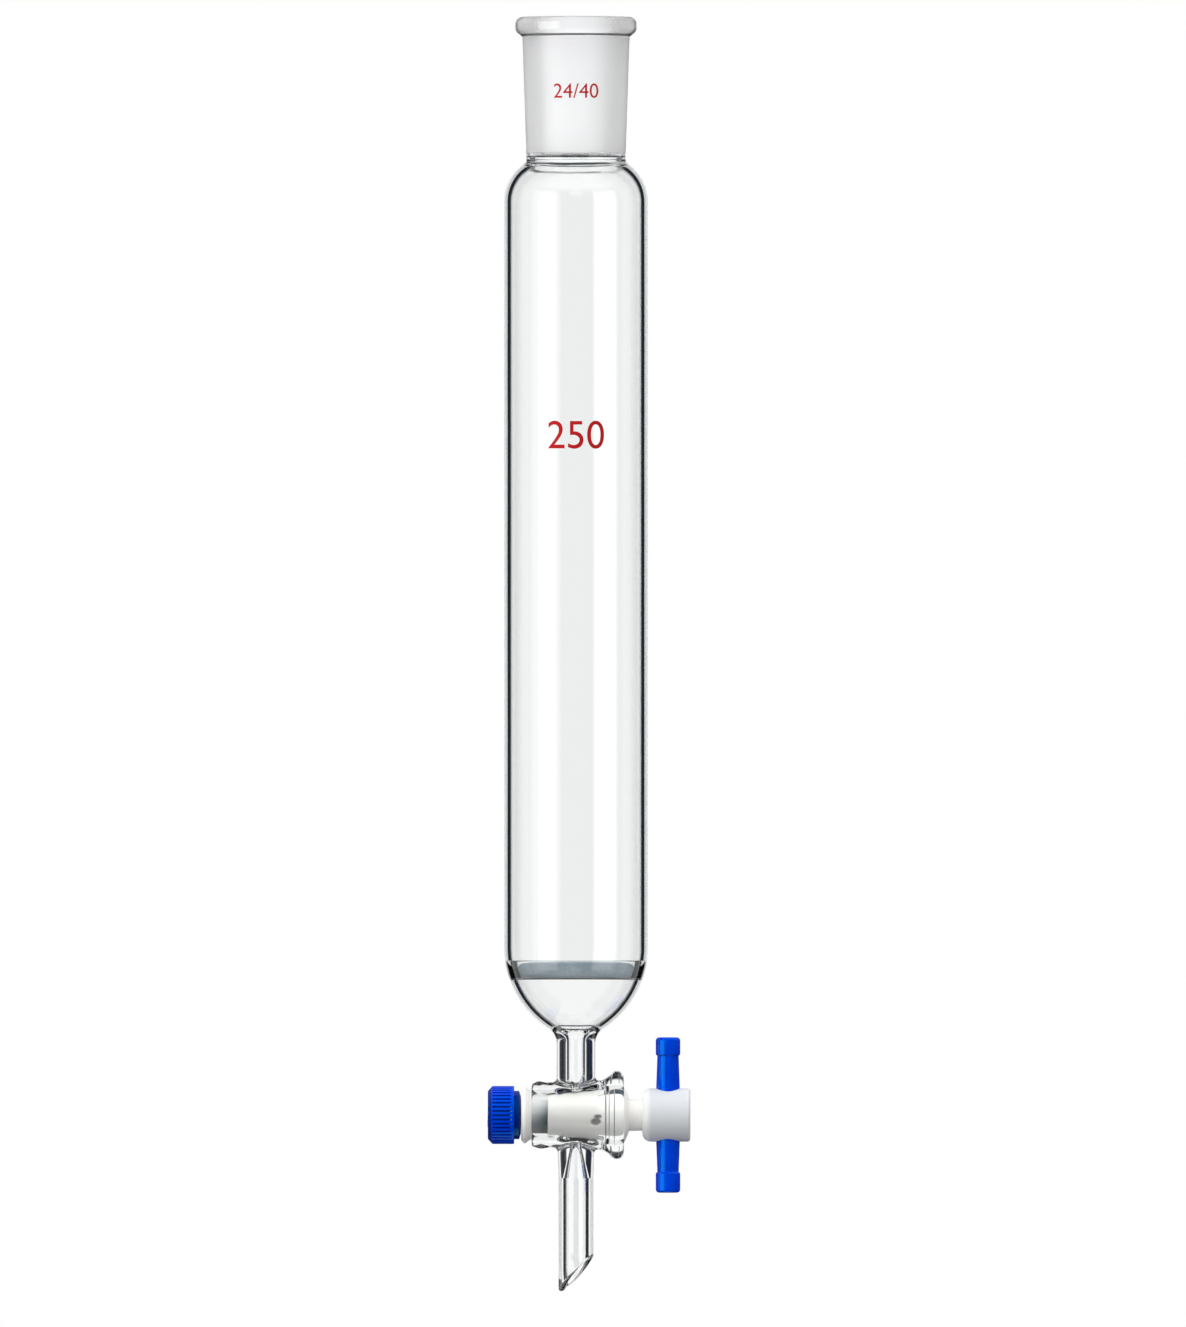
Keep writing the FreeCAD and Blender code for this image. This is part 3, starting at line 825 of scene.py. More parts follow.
@dataclass(frozen=True)
class TurnedFluoroplastic:
    """White waxy plastic that light enters a little, with fine marks of the lathe."""

    whites: Stops = ((0.3, (0.87, 0.86, 0.83)), (0.65, (0.92, 0.91, 0.88)))
    roughness: Pair = (0.38, 0.52)
    # Painted shade on the hub: a darker, cooler copy of the white.
    hub_shaded_white: Colour = (0.64, 0.665, 0.69)
    hub_start: float = 19.8
    hub_end: float = 22.6
    clouds_per_metre: float = 140.0
    marks_per_metre: float = 248.28171
    mark_height: float = 0.000002
    # Painted shade in the taper's dimple, and how it fades at the lobes' edges.
    dimple_shade: Colour = (0.17, 0.162, 0.155)
    dimple_share: float = 0.85
    dimple_edge: Pair = (0.75, 1.15)
    front_depth: float = 2.0

    def in_lobe(self, nodes: Nodes, lobe: tuple[float, float, float, float], axis_z: float) -> Value:
        """Share of the painted shade: most inside one lobe of the dimple, on the front, and 0 outside.

        Args:
            nodes: the material's nodes.
            lobe: x, height over the axis, and half-widths along and up, in millimetres.
            axis_z: height of the stopcock's axis, in millimetres.
        """
        x, up, half_x, half_z = lobe
        away = nodes.vectors("ADD", "Vector", nodes.coordinates, (-x * MM, 0.0, -(axis_z + up) * MM))
        away = nodes.vectors("MULTIPLY", "Vector", away, (1 / (half_x * MM), 0.0, 1 / (half_z * MM)))
        reach = nodes.vectors("LENGTH", "Value", away)
        in_front = nodes.spread(nodes.along("Y"), 1.0, 0.0, -self.front_depth * MM, 0.0)
        return nodes.spread(reach, self.dimple_share, 0.0, *self.dimple_edge) * in_front

    def make(self, axis_z: float) -> bpy.types.Material:
        """Builds the material, darker and cooler on the hub and grey in the taper's dimple, both painted
        shade.

        Args:
            axis_z: height of the stopcock's axis, in millimetres.
        """
        nodes = Nodes("turned_fluoroplastic")
        cloud = nodes.noise(self.clouds_per_metre, 4.0)
        marks = nodes.value("ShaderNodeTexWave", "Fac", {
            "Vector": nodes.coordinates, "Scale": self.marks_per_metre, "Distortion": 1.5, "Detail": 2.0},
            wave_type="BANDS", bands_direction="X")
        colour = nodes.ramp(cloud, self.whites)
        for lobe in StopcockPlug.dimple_lobes:
            colour = nodes.blend(self.in_lobe(nodes, lobe, axis_z), colour, self.dimple_shade)
        on_hub = nodes.spread(nodes.along("X"), 0.0, 1.0, self.hub_start * MM, self.hub_end * MM)
        return nodes.principled({
            "Base Color": nodes.blend(on_hub, colour, self.hub_shaded_white),
            "Roughness": nodes.spread(cloud, *self.roughness), "IOR": 1.36,
            "Subsurface Weight": 0.35, "Subsurface Scale": 0.0012, "Subsurface Radius": (1.0, 0.95, 0.9),
            "Normal": nodes.bump(marks, self.mark_height, 0.6)})


@dataclass(frozen=True)
class MouldedBlue:
    """Half-gloss blue plastic with the fine orange-peel of a mould."""

    blues: Stops = ((0.3, (0.0, 0.034, 0.61)), (0.6, (0.0, 0.044, 0.70)))
    roughness: Pair = (0.16, 0.27)
    shadow: Colour = (0.0, 0.014, 0.22)
    gloss_tint: Colour = (0.0, 1.0, 1.0)
    clouds_per_metre: float = 190.0
    peel_per_metre: float = 1500.0
    peel_height: float = 0.00001
    shadow_depth: float = 0.45
    shadow_edge: float = 0.12

    def make(self, name: str, grip: Pair | None = None) -> bpy.types.Material:
        """Builds the material.

        Args:
            name: its name.
            grip: height of the axis and radius of a ribbed grip along X, in metres, in whose grooves
            the blue is darkened by painted shade.
        """
        nodes = Nodes(name)
        cloud = nodes.noise(self.clouds_per_metre, 5.0)
        peel = nodes.noise(self.peel_per_metre, 2.0)
        colour = nodes.ramp(cloud, self.blues)
        if grip:
            # Painted shade: the blue turns to the shadow colour towards the floor of each groove.
            axis_z, radius = grip
            across = nodes.vectors("ADD", "Vector", nodes.coordinates, (0.0, 0.0, -axis_z))
            across = nodes.vectors("MULTIPLY", "Vector", across, (0.0, 1.0, 1.0))
            share = nodes.spread(nodes.vectors("LENGTH", "Value", across), 0.0, 1.0,
                                 radius - self.shadow_depth * MM, radius - self.shadow_edge * MM)
            colour = nodes.blend(share, self.shadow, colour)
        return nodes.principled({
            "Base Color": colour, "Roughness": nodes.spread(cloud, *self.roughness), "IOR": 1.49,
            "Specular Tint": (*self.gloss_tint, 1.0), "Normal": nodes.bump(peel, self.peel_height)})


@dataclass(frozen=True)
class FiredInk:
    """Red ceramic print fired on to the glass, matt with tiny pinholes."""

    reds: Stops = ((0.32, (0.52, 0.012, 0.012)), (0.5, (0.44, 0.003, 0.005)))
    grain_per_metre: float = 2600.0
    grain_height: float = 0.000008

    def make(self) -> bpy.types.Material:
        """Builds the material."""
        nodes = Nodes("fired_ink")
        grain = nodes.noise(self.grain_per_metre, 4.0)
        return nodes.principled({
            "Base Color": nodes.ramp(grain, self.reds), "Roughness": 0.5, "Specular IOR Level": 0.2,
            "Normal": nodes.bump(grain, self.grain_height)})


@dataclass(frozen=True)
class MouldedRubber:
    """Black rubber of the ring, slightly dusty."""

    blacks: Stops = ((0.4, (0.018, 0.018, 0.018)), (0.75, (0.045, 0.045, 0.045)))
    dust_per_metre: float = 900.0
    dust_height: float = 0.00001

    def make(self) -> bpy.types.Material:
        """Builds the material."""
        nodes = Nodes("moulded_rubber")
        dust = nodes.noise(self.dust_per_metre, 4.0)
        return nodes.principled({
            "Base Color": nodes.ramp(dust, self.blacks), "Roughness": 0.6,
            "Normal": nodes.bump(dust, self.dust_height)})


@dataclass
class FusedGlass:
    """All the glass from the joint's rim to the drip tip, as one wall of glass.

    The outline runs up the outside, over the rim, and down the inside. The stopcock's barrel lies
    across it, and its side arms run into it by fillets. Sizes are in millimetres.
    """

    tube_top: float = 111.75
    tube_wall: float = 2.1
    shoulder_radius: float = 14.0
    neck_radius: float = 15.0
    neck_wall: float = 2.55
    neck_blend: float = 2.0
    inner_neck_blend: float = 1.2
    shelf_drop: float = 1.3
    shelf_shade_line_share: float = 0.8
    foot_step: float = 0.1
    foot_below: float = 0.25
    foot_above: float = 0.15
    head_radius: float = 16.1
    rim_height: float = 5.4
    rim_rounding: float = 2.1
    mouth_radius: float = 12.0
    mouth_lip: float = 0.9
    mouth_rounding: float = 0.8
    ground_length: float = 40.0
    taper: float = 0.1
    dome_radius: float = 29.1
    dome_blend: float = 5.1
    stem_radius: float = 5.85
    stem_bore: float = 2.0
    funnel_radius: float = 5.5
    funnel_depth: float = 4.2
    neck_shade_line_rise: float = 10.4
    ring_rise: float = 0.15
    ring_foot: float = 0.15
    barrel_end_rounding: float = 0.8
    barrel_small: float = 9.6
    barrel_large: float = 10.4
    barrel_body: float = 19.85
    collar_radius: float = 13.3
    bead_radius: float = 2.2
    collar_index: float = 1.17
    line_reach: float = 10.5
    drip_index: float = 1.7
    # Colour and places along X of the painted shade lines on the barrel's collar.
    collar_line: Colour = (0.16, 0.17, 0.18)
    collar_shade_lines: tuple[PaintedShadeLine, ...] = (PaintedShadeLine(8.9, 0.26), PaintedShadeLine(9.95, 0.16), PaintedShadeLine(11.5, 0.2))
    bore_rows: int = 11
    mouth_bevel: float = 0.5
    seat_x: float = -8.4
    seat_radius: float = 6.05
    seat_taper: float = 0.1
    port_radius: float = 1.2
    fillet: float = 1.6
    upper_root_height: float = 13.2
    lower_root_height: float = 12.6
    upper_stub: float = 14.5
    lower_stub: float = 18.9
    lower_root: float = 5.49
    drip_radius: float = 5.25
    drip_bore: float = 2.7
    drip_length: float = 35.2
    tip_slope: float = 49.5
    tip_turn: float = 17.0
    tip_rounding: float = 0.7
    outer_square: float = 8.4
    bore_square: float = 5.0
    port_taper_foot: float = 8.28

    def __post_init__(self) -> None:
        """Takes the main places from the frame."""
        joint_low, joint_high = node_box("ground_joint")
        disc_low, disc_high = node_box("fritted_disc")
        barrel_low, barrel_high = node_box("stopcock_barrel")
        self.tube_radius = node_box("column_tube")[1][0]
        self.axis_z = (node_box("handle_arm_upper")[1][2] + node_box("handle_arm_lower")[0][2]) / 2
        self.joint_foot = joint_low[2]
        self.joint_top = joint_high[2]
        self.rim_radius = joint_high[0]
        self.disc_radius = disc_high[0]
        self.disc_low = disc_low[2]
        self.disc_high = disc_high[2]
        self.barrel_start = barrel_low[0]
        self.barrel_end = barrel_high[0]
        self.tube_bottom = -self.tube_top
        self.dome_centre = (self.tube_radius - self.dome_radius, self.tube_bottom)
        self.dome_inner = self.dome_radius - self.tube_wall
        drop = math.sqrt(self.dome_inner ** 2 - (self.funnel_radius - self.dome_centre[0]) ** 2)
        self.funnel_top = self.tube_bottom - drop

    def dome_point(self, radius: float, height: float) -> Pair:
        """Point of the dome's wall at a height, on the circle of the given radius."""
        rise = height - self.dome_centre[1]
        return (self.dome_centre[0] + math.sqrt(radius ** 2 - rise ** 2), height)

    def blend_centre(self, centre: Pair, radius: float, blend: float, wall: float, side: Side) -> Pair:
        """Middle of the hollow circle that touches a big circle and a straight upright wall."""
        u = wall + blend
        return (u, centre[1] + side.value * math.sqrt((radius + blend) ** 2 - (u - centre[0]) ** 2))

    def outside(self) -> np.ndarray:
        """Outline (radius, height) up the outside, from the stem to the joint's foot."""
        wall = self.tube_radius
        dome_blend = self.blend_centre(self.dome_centre, self.dome_radius, self.dome_blend,
                                       self.stem_radius, Side.DOWN)
        shoulder = (wall - self.shoulder_radius, self.tube_top)
        neck_blend = self.blend_centre(shoulder, self.shoulder_radius, self.neck_blend,
                                       self.neck_radius, Side.UP)
        meets_dome = bearing(dome_blend, self.dome_centre)
        leaves_dome = bearing(self.dome_centre, dome_blend)
        meets_neck = bearing(shoulder, neck_blend)
        leaves_shoulder = bearing(neck_blend, shoulder) + 2 * math.pi
        return np.concatenate((
            arc(dome_blend, self.dome_blend, math.pi, meets_dome, 14),
            arc(self.dome_centre, self.dome_radius, leaves_dome, 0.0, 30)[1:],
            [(wall, z) for z in np.linspace(self.tube_bottom, self.tube_top, 12)[1:-1]],
            arc(shoulder, self.shoulder_radius, 0.0, meets_neck, 24),
            arc(neck_blend, self.neck_blend, leaves_shoulder, math.pi, 9)[1:],
            [(self.neck_radius, self.joint_foot - self.foot_below), (self.neck_radius, self.joint_foot)],
        ))

    def joint_outside(self) -> np.ndarray:
        """Outline (radius, height) up the joint's outside and over its rim, to the mouth's lip."""
        rim_foot = self.joint_top - self.rim_height
        return rounded((
            (self.neck_radius, self.joint_foot, 0),
            (self.neck_radius - self.foot_step, self.joint_foot + self.foot_above, 0),
            (self.head_radius, rim_foot, self.rim_rounding / 2),
            (self.rim_radius, rim_foot, self.rim_rounding),
            (self.rim_radius, self.joint_top, self.rim_rounding),
            (self.mouth_radius, self.joint_top, self.mouth_rounding),
            (self.mouth_radius, self.joint_top - self.mouth_lip, 0),
        ), samples=10)

    def cone_foot(self) -> float:
        """Radius of the ground zone at the joint's foot."""
        return self.mouth_radius - self.taper * self.ground_length / 2

    def ground_cone(self) -> np.ndarray:
        """Outline of the ground zone, from the lip down to the joint's foot."""
        top = (self.mouth_radius, self.joint_top - self.mouth_lip)
        return np.linspace(top, (self.cone_foot(), self.joint_foot), 10)

    def inside(self) -> np.ndarray:
        """Outline (radius, height) down the inside, from the joint's foot to the stem's bore."""
        foot = self.cone_foot()
        inner_neck = self.neck_radius - self.neck_wall
        wall = self.tube_radius - self.tube_wall
        shelf = cove_radius(inner_neck - foot, self.shelf_drop)
        shelf_centre = (foot, self.joint_foot - shelf)
        shelf_end = bearing(shelf_centre, (inner_neck, self.joint_foot - self.shelf_drop))
        shoulder = (self.tube_radius - self.shoulder_radius, self.tube_top)
        shoulder_inner = self.shoulder_radius - self.tube_wall
        blend = self.blend_centre(shoulder, shoulder_inner, self.inner_neck_blend, inner_neck, Side.UP)
        ring_top = self.dome_point(self.dome_inner, self.disc_high + self.ring_rise)
        ring_bottom = self.dome_point(self.dome_inner, self.disc_low - self.ring_foot)
        cove = cove_radius(ring_top[0] - self.disc_radius, self.ring_rise)
        cove_centre = (self.disc_radius, self.disc_high + cove)
        funnel = (self.funnel_radius, self.funnel_top)
        throat = cove_radius(self.funnel_depth, self.funnel_radius - self.stem_bore)
        throat_centre = (self.stem_bore + throat, funnel[1] - self.funnel_depth)
        return np.concatenate((
            arc(shelf_centre, shelf, math.pi / 2, shelf_end, 8),
            arc(blend, self.inner_neck_blend, math.pi, bearing(blend, shoulder) + 2 * math.pi, 9),
            arc(shoulder, shoulder_inner, bearing(shoulder, blend), 0.0, 24)[1:],
            [(wall, z) for z in np.linspace(self.tube_top, self.tube_bottom, 12)[1:-1]],
            arc(self.dome_centre, self.dome_inner, 0.0, bearing(self.dome_centre, ring_top), 4),
            arc(cove_centre, cove, bearing(cove_centre, ring_top), -math.pi / 2, 10)[1:],
            [(self.disc_radius, self.disc_low)],
            arc(self.dome_centre, self.dome_inner, bearing(self.dome_centre, ring_bottom),
                bearing(self.dome_centre, funnel), 26),
            arc(throat_centre, throat, bearing(throat_centre, funnel), math.pi, 14)[1:],
        ))

    def flare(self) -> tuple[Pair, float, float]:
        """Middle and radius of the hollow circle between barrel and bead, and the x where they meet."""
        start = (self.barrel_start + self.barrel_body, self.barrel_large)
        bead = (self.barrel_end - self.bead_radius, self.collar_radius - self.bead_radius)
        along, below = bead[0] - start[0], start[1] - bead[1]
        radius = (along ** 2 + below ** 2 - self.bead_radius ** 2) / (2 * (self.bead_radius - below))
        centre = (start[0], start[1] + radius)
        meets = bead[0] + self.bead_radius * math.cos(bearing(bead, centre))
        return centre, radius, meets

    def barrel_outside(self, x: np.ndarray) -> np.ndarray:
        """Outer radius of the barrel: a straight cone, then the hollow circle of the flare."""
        centre, radius, _ = self.flare()
        cone_start = self.barrel_start + self.barrel_end_rounding
        share = (x - cone_start) / (centre[0] - cone_start)
        cone = self.barrel_small + share * (self.barrel_large - self.barrel_small)
        hollow = centre[1] - np.sqrt(np.maximum(radius ** 2 - (x - centre[0]) ** 2, 0))
        return np.where(x < centre[0], cone, hollow)

    def barrel_bore(self, x: np.ndarray) -> np.ndarray:
        """Radius of the barrel's bore: straight up to the seat, then a 1 in 5 taper."""
        return self.seat_radius + self.seat_taper * np.maximum(x - self.seat_x, 0)

    def barrel_loop(self) -> tuple[np.ndarray, int, int]:
        """Closed outline (x, radius) of the barrel's wall.

        Returns:
            The outline, and the rows where the outer and the inner square start.
        """
        corner = (self.barrel_start + self.barrel_end_rounding, self.barrel_small - self.barrel_end_rounding)
        bead = (self.barrel_end - self.bead_radius, self.collar_radius - self.bead_radius)
        centre, _, meets = self.flare()
        outer_x = np.linspace(-self.outer_square, self.outer_square, SIDE_CELLS + 1)
        before_x = np.linspace(corner[0], -self.outer_square, 12)[1:-1]
        after_x = np.linspace(self.outer_square, meets, 8)[1:-1]
        bore_x = np.linspace(self.bore_square, -self.bore_square, SIDE_CELLS + 1)
        bevel_x = self.barrel_end - self.mouth_bevel
        bore_before = np.linspace(bevel_x, self.bore_square, 10)[:-1]
        bore_after = np.array([-6.5, self.seat_x])
        mouth = self.barrel_bore(np.array(bevel_x)) + self.mouth_bevel
        parts = [
            arc(corner, self.barrel_end_rounding, math.pi, math.pi / 2, 7),
            profile(before_x, self.barrel_outside),
            profile(outer_x, self.barrel_outside),
            profile(after_x, self.barrel_outside),
            arc(bead, self.bead_radius, bearing(bead, centre), 0.0, 22),
            np.array([(self.barrel_end, mouth)]),
            profile(bore_before, self.barrel_bore),
            profile(bore_x, self.barrel_bore),
            profile(bore_after, self.barrel_bore),
            np.array([(self.barrel_start, self.seat_radius), (self.barrel_start, corner[1])]),
        ]
        starts = np.cumsum([len(part) for part in parts])
        return np.concatenate(parts), int(starts[1]), int(starts[6])

    def root(self, arm_radius: float, side: Side) -> np.ndarray:
        """Fillet rows from the foot circle on the barrel up to the arm.

        Seen in the plane of each column it is the curve that leaves the barrel along its slope and
        reaches the arm along its wall: (1-t)^2 foot + 2 t (1-t) corner + t^2 top.

        Args:
            arm_radius: radius of the arm above the fillet.
            side: whether the arm stands up or hangs down.

        Returns:
            rows x RING_COLUMNS x 3 points, without the foot itself.
        """
        angles = ring_angles()
        foot_radius = arm_radius + self.fillet
        step = 0.05
        rise = [np.sqrt(self.barrel_outside(r * np.cos(angles)) ** 2 - (r * np.sin(angles)) ** 2)
                for r in (foot_radius - step, foot_radius, foot_radius + step)]
        corner = rise[1] + (rise[0] - rise[2]) / (2 * step) * self.fillet
        top = corner + self.fillet
        share = np.linspace(0, 1, 11)[1:, None]
        radius = (1 - share) ** 2 * foot_radius + (1 - (1 - share) ** 2) * arm_radius
        height = (1 - share) ** 2 * rise[1] + 2 * share * (1 - share) * corner + share ** 2 * top
        return np.stack((radius * np.cos(angles), radius * np.sin(angles),
                         self.axis_z + side.value * height), axis=-1)

    def lip(self, height: np.ndarray, radius: float, slope: np.ndarray, inward: float) -> np.ndarray:
        """Rounded edge of the slanted tip, between its wall and its cut.

        In the plane of each column it is the circle that touches the wall and the cut.

        Args:
            height: height of the cut at the wall, for each column.
            radius: radius of the wall.
            slope: rise of the cut for each step outwards.
            inward: -1 for the outer wall, whose cut runs inwards, and 1 for the inner wall.

        Returns:
            rows x RING_COLUMNS x 3 points, from the wall to the cut.
        """
        angles = ring_angles()
        length = np.sqrt(1 + slope ** 2)
        way = np.stack((inward / length, inward * slope / length))
        up = np.stack((np.zeros_like(slope), np.ones_like(slope)))
        half = np.arccos(np.clip(way[1], -1, 1)) / 2
        reach = self.tip_rounding / np.tan(half)
        middle = (way + up) / np.linalg.norm(way + up, axis=0) * self.tip_rounding / np.sin(half)
        start, end = up * reach - middle, way * reach - middle
        sweep = math.pi - 2 * half
        share = np.linspace(0, 1, 9)[:, None, None]
        curve = (np.sin((1 - share) * sweep) * start + np.sin(share * sweep) * end) / np.sin(sweep)
        curve = curve + middle
        r = radius + curve[:, 0]
        return np.stack((r * np.cos(angles), r * np.sin(angles), height + curve[:, 1]), axis=-1)

    def drip(self) -> tuple[np.ndarray, np.ndarray]:
        """Rows down the outside of the drip tube and round its slanted tip, and rows up its bore."""
        angles = ring_angles()
        joint_z = self.axis_z - self.lower_stub
        steep = math.tan(math.radians(self.tip_slope))
        slope = steep * np.cos(angles + math.radians(self.tip_turn))
        lowest = joint_z - self.drip_length
        outer = lowest + self.drip_radius * (steep + slope)
        inner = lowest + self.drip_radius * steep + self.drip_bore * slope
        outer_lip = self.lip(outer, self.drip_radius, slope, -1.0)
        inner_lip = self.lip(inner, self.drip_bore, slope, 1.0)[::-1]
        share = np.linspace(0, 1, 12)[1:-1, None]
        wall_z = (1 - share) * joint_z + share * outer_lip[0, :, 2]
        bore_z = (1 - share) * inner_lip[-1, :, 2] + share * joint_z
        around = np.stack((np.cos(angles), np.sin(angles)))
        wall = np.stack((*(self.drip_radius * around[:, None] + 0 * share), wall_z), axis=-1)
        bore = np.stack((*(self.drip_bore * around[:, None] + 0 * share), bore_z), axis=-1)
        return np.concatenate((wall, outer_lip, inner_lip)), bore

    def upper_arm(self, skin: Skin, start: np.ndarray, hole: np.ndarray) -> None:
        """Adds the stem and the whole column above it.

        Args:
            skin: the glass.
            start: rows from the barrel up the fillet.
            hole: edge of the port in the barrel's bore.
        """
        stem = level_rings(((self.stem_radius, self.upper_root_height),), self.axis_z, Side.UP)
        port = level_rings(((self.stem_bore, self.upper_stub), (self.stem_bore, self.barrel_small),
                            (self.port_radius, self.port_taper_foot)), self.axis_z, Side.UP)
        skin.grid(np.concatenate((start, stem, turned_about_z(self.outside()))))
        skin.grid(turned_about_z(self.joint_outside()), finish=Finish.VEILED)
        skin.grid(turned_about_z(self.ground_cone()), finish=Finish.GROUND)
        skin.grid(np.concatenate((turned_about_z(self.inside()), port, hole)), finish=Finish.SHADE_LINED)

    def lower_arm(self, skin: Skin, start: np.ndarray, hole: np.ndarray) -> None:
        """Adds the drip tube.

        Args:
            skin: the glass.
            start: rows from the barrel down the fillet.
            hole: edge of the port in the barrel's bore.
        """
        stem = level_rings(((self.lower_root, self.lower_root_height), (self.drip_radius, self.lower_stub)),
                           self.axis_z, Side.DOWN)
        port = level_rings(((self.drip_bore, self.lower_stub), (self.port_radius, self.barrel_small)),
                           self.axis_z, Side.DOWN)
        wall, bore = self.drip()
        skin.grid(np.concatenate((start, stem)))
        skin.grid(np.concatenate((stem[-1:], wall, bore, port, hole)), finish=Finish.DRIP)

    def wall_shade_lines(self) -> tuple[PaintedShadeLine, ...]:
        """Painted shade lines of the inner wall: under the joint, in the neck, under the disc, at the
        funnel.
        """
        return (
            PaintedShadeLine(self.joint_foot - self.shelf_shade_line_share * self.shelf_drop, 0.38),
            PaintedShadeLine(self.tube_top + self.neck_shade_line_rise, 0.5, uneven=True),
            PaintedShadeLine(self.disc_low - self.ring_foot, 0.25),
            PaintedShadeLine(self.funnel_top, 0.2),
        )

    def materials(self, clear: bpy.types.Material,
                  ground: bpy.types.Material) -> tuple[bpy.types.Material, ...]:
        """All materials of the glass, in the order of Finish.

        Args:
            clear: material of the clear glass.
            ground: material of the ground zone.
        """
        thin_glass = ClearGlass(index=self.collar_index)
        return (
            clear,
            ground,
            VeiledGlass().make(self.joint_foot * MM, self.joint_top * MM),
            PaintedShadeBore().make(self.barrel_start * MM, self.seat_x * MM, self.axis_z * MM),
            ShadeLinedGlass().make("shade_lined_glass", "Z", self.wall_shade_lines()),
            ShadeLinedGlass(thin_glass, self.collar_line).make("collar_glass", "X", self.collar_shade_lines,
                                                            (self.axis_z, self.line_reach)),
            ClearGlass(index=self.drip_index).make("drip_glass"),
        )

    def make(self, clear: bpy.types.Material, ground: bpy.types.Material) -> bpy.types.Object:
        """Builds the glass.

        Args:
            clear: material of the clear glass.
            ground: material of the ground zone.

        Returns:
            The glass as one piece.
        """
        skin = Skin()
        loop, outer_row, bore_row = self.barrel_loop()
        loop = np.concatenate((loop, loop[:1]))
        barrel = turned_about_x(loop[:, 0], loop[:, 1], self.axis_z, TURNED_COLUMNS)
        keep = np.ones((len(loop) - 1, TURNED_COLUMNS), dtype=bool)
        for side, arm, add_arm in ((Side.UP, self.stem_radius, self.upper_arm),
                                   (Side.DOWN, self.lower_root, self.lower_arm)):
            outer_hole = SideHole(outer_row, side, 0.0, arm + self.fillet)
            bore_hole = SideHole(bore_row, side, 0.0, self.port_radius)
            outer_hole.cut(keep)
            bore_hole.cut(keep)
            outer_patch = outer_hole.patch(barrel, self.barrel_outside, self.axis_z)
            bore_patch = bore_hole.patch(barrel, self.barrel_bore, self.axis_z)
            skin.grid(outer_patch)
            skin.grid(bore_patch)
            add_arm(skin, np.concatenate((outer_patch[-1:], self.root(arm, side))), bore_patch[-1:])
        on_bore = loop[:, 1] < self.seat_radius + CLOSE
        in_gap = (on_bore[:-1] & on_bore[1:])[:, None]
        flared = loop[:-1, 0] > self.flare()[0][0]
        on_collar = (flared & (np.arange(len(flared)) < bore_row - self.bore_rows))[:, None]
        skin.grid(barrel, keep=keep & on_collar, finish=Finish.COLLAR)
        skin.grid(barrel, keep=keep & ~in_gap & ~on_collar)
        skin.grid(barrel, keep=keep & in_gap, finish=Finish.SHADED)
        glass = skin.make("fused_glass", self.materials(clear, ground), hand_work=HandWork(self.axis_z))
        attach(glass, "glass_column")
        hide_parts("ground_joint", "column_tube", "disc_seal_ring", "lower_dome",
                    "stopcock_barrel", "drip_tube")
        return glass


@dataclass
class FritDisc:
    """Disc of sintered glass in the seal ring, with a hair of air round its edge."""

    gap: float = 0.06
    edge_rounding: float = 1.9

    def make(self, material: bpy.types.Material) -> bpy.types.Object:
        """Builds the disc.

        Args:
            material: its sintered glass.

        Returns:
            The disc.
        """
        low, high = node_box("fritted_disc")
        radius = high[0] - self.gap
        outline = rounded((
            (0, high[2], 0),
            (radius, high[2], self.edge_rounding),
            (radius, low[2], self.edge_rounding),
            (0, low[2], 0),
        ))
        disc = one_grid("sintered_disc", material, turned_about_z(outline))
        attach(disc, "glass_column")
        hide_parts("fritted_disc")
        return disc


@dataclass(frozen=True)
class Thread:
    """Right-handed thread of the tail and the nut.

    The depth below the crest is depth * (1 - cos(2 pi (x / pitch + turn))) / 2.
    """

    pitch: float = 2.0
    depth: float = 0.65

    def depth_at(self, x: np.ndarray, columns: int) -> np.ndarray:
        """Depth at each x, for columns round the axis.

        Args:
            x: places along the axis.
            columns: number of columns round it.

        Returns:
            len(x) x columns depths.
        """
        turn = np.arange(columns) / columns
        return self.depth * (1 - np.cos(2 * math.pi * (x[:, None] / self.pitch + turn))) / 2


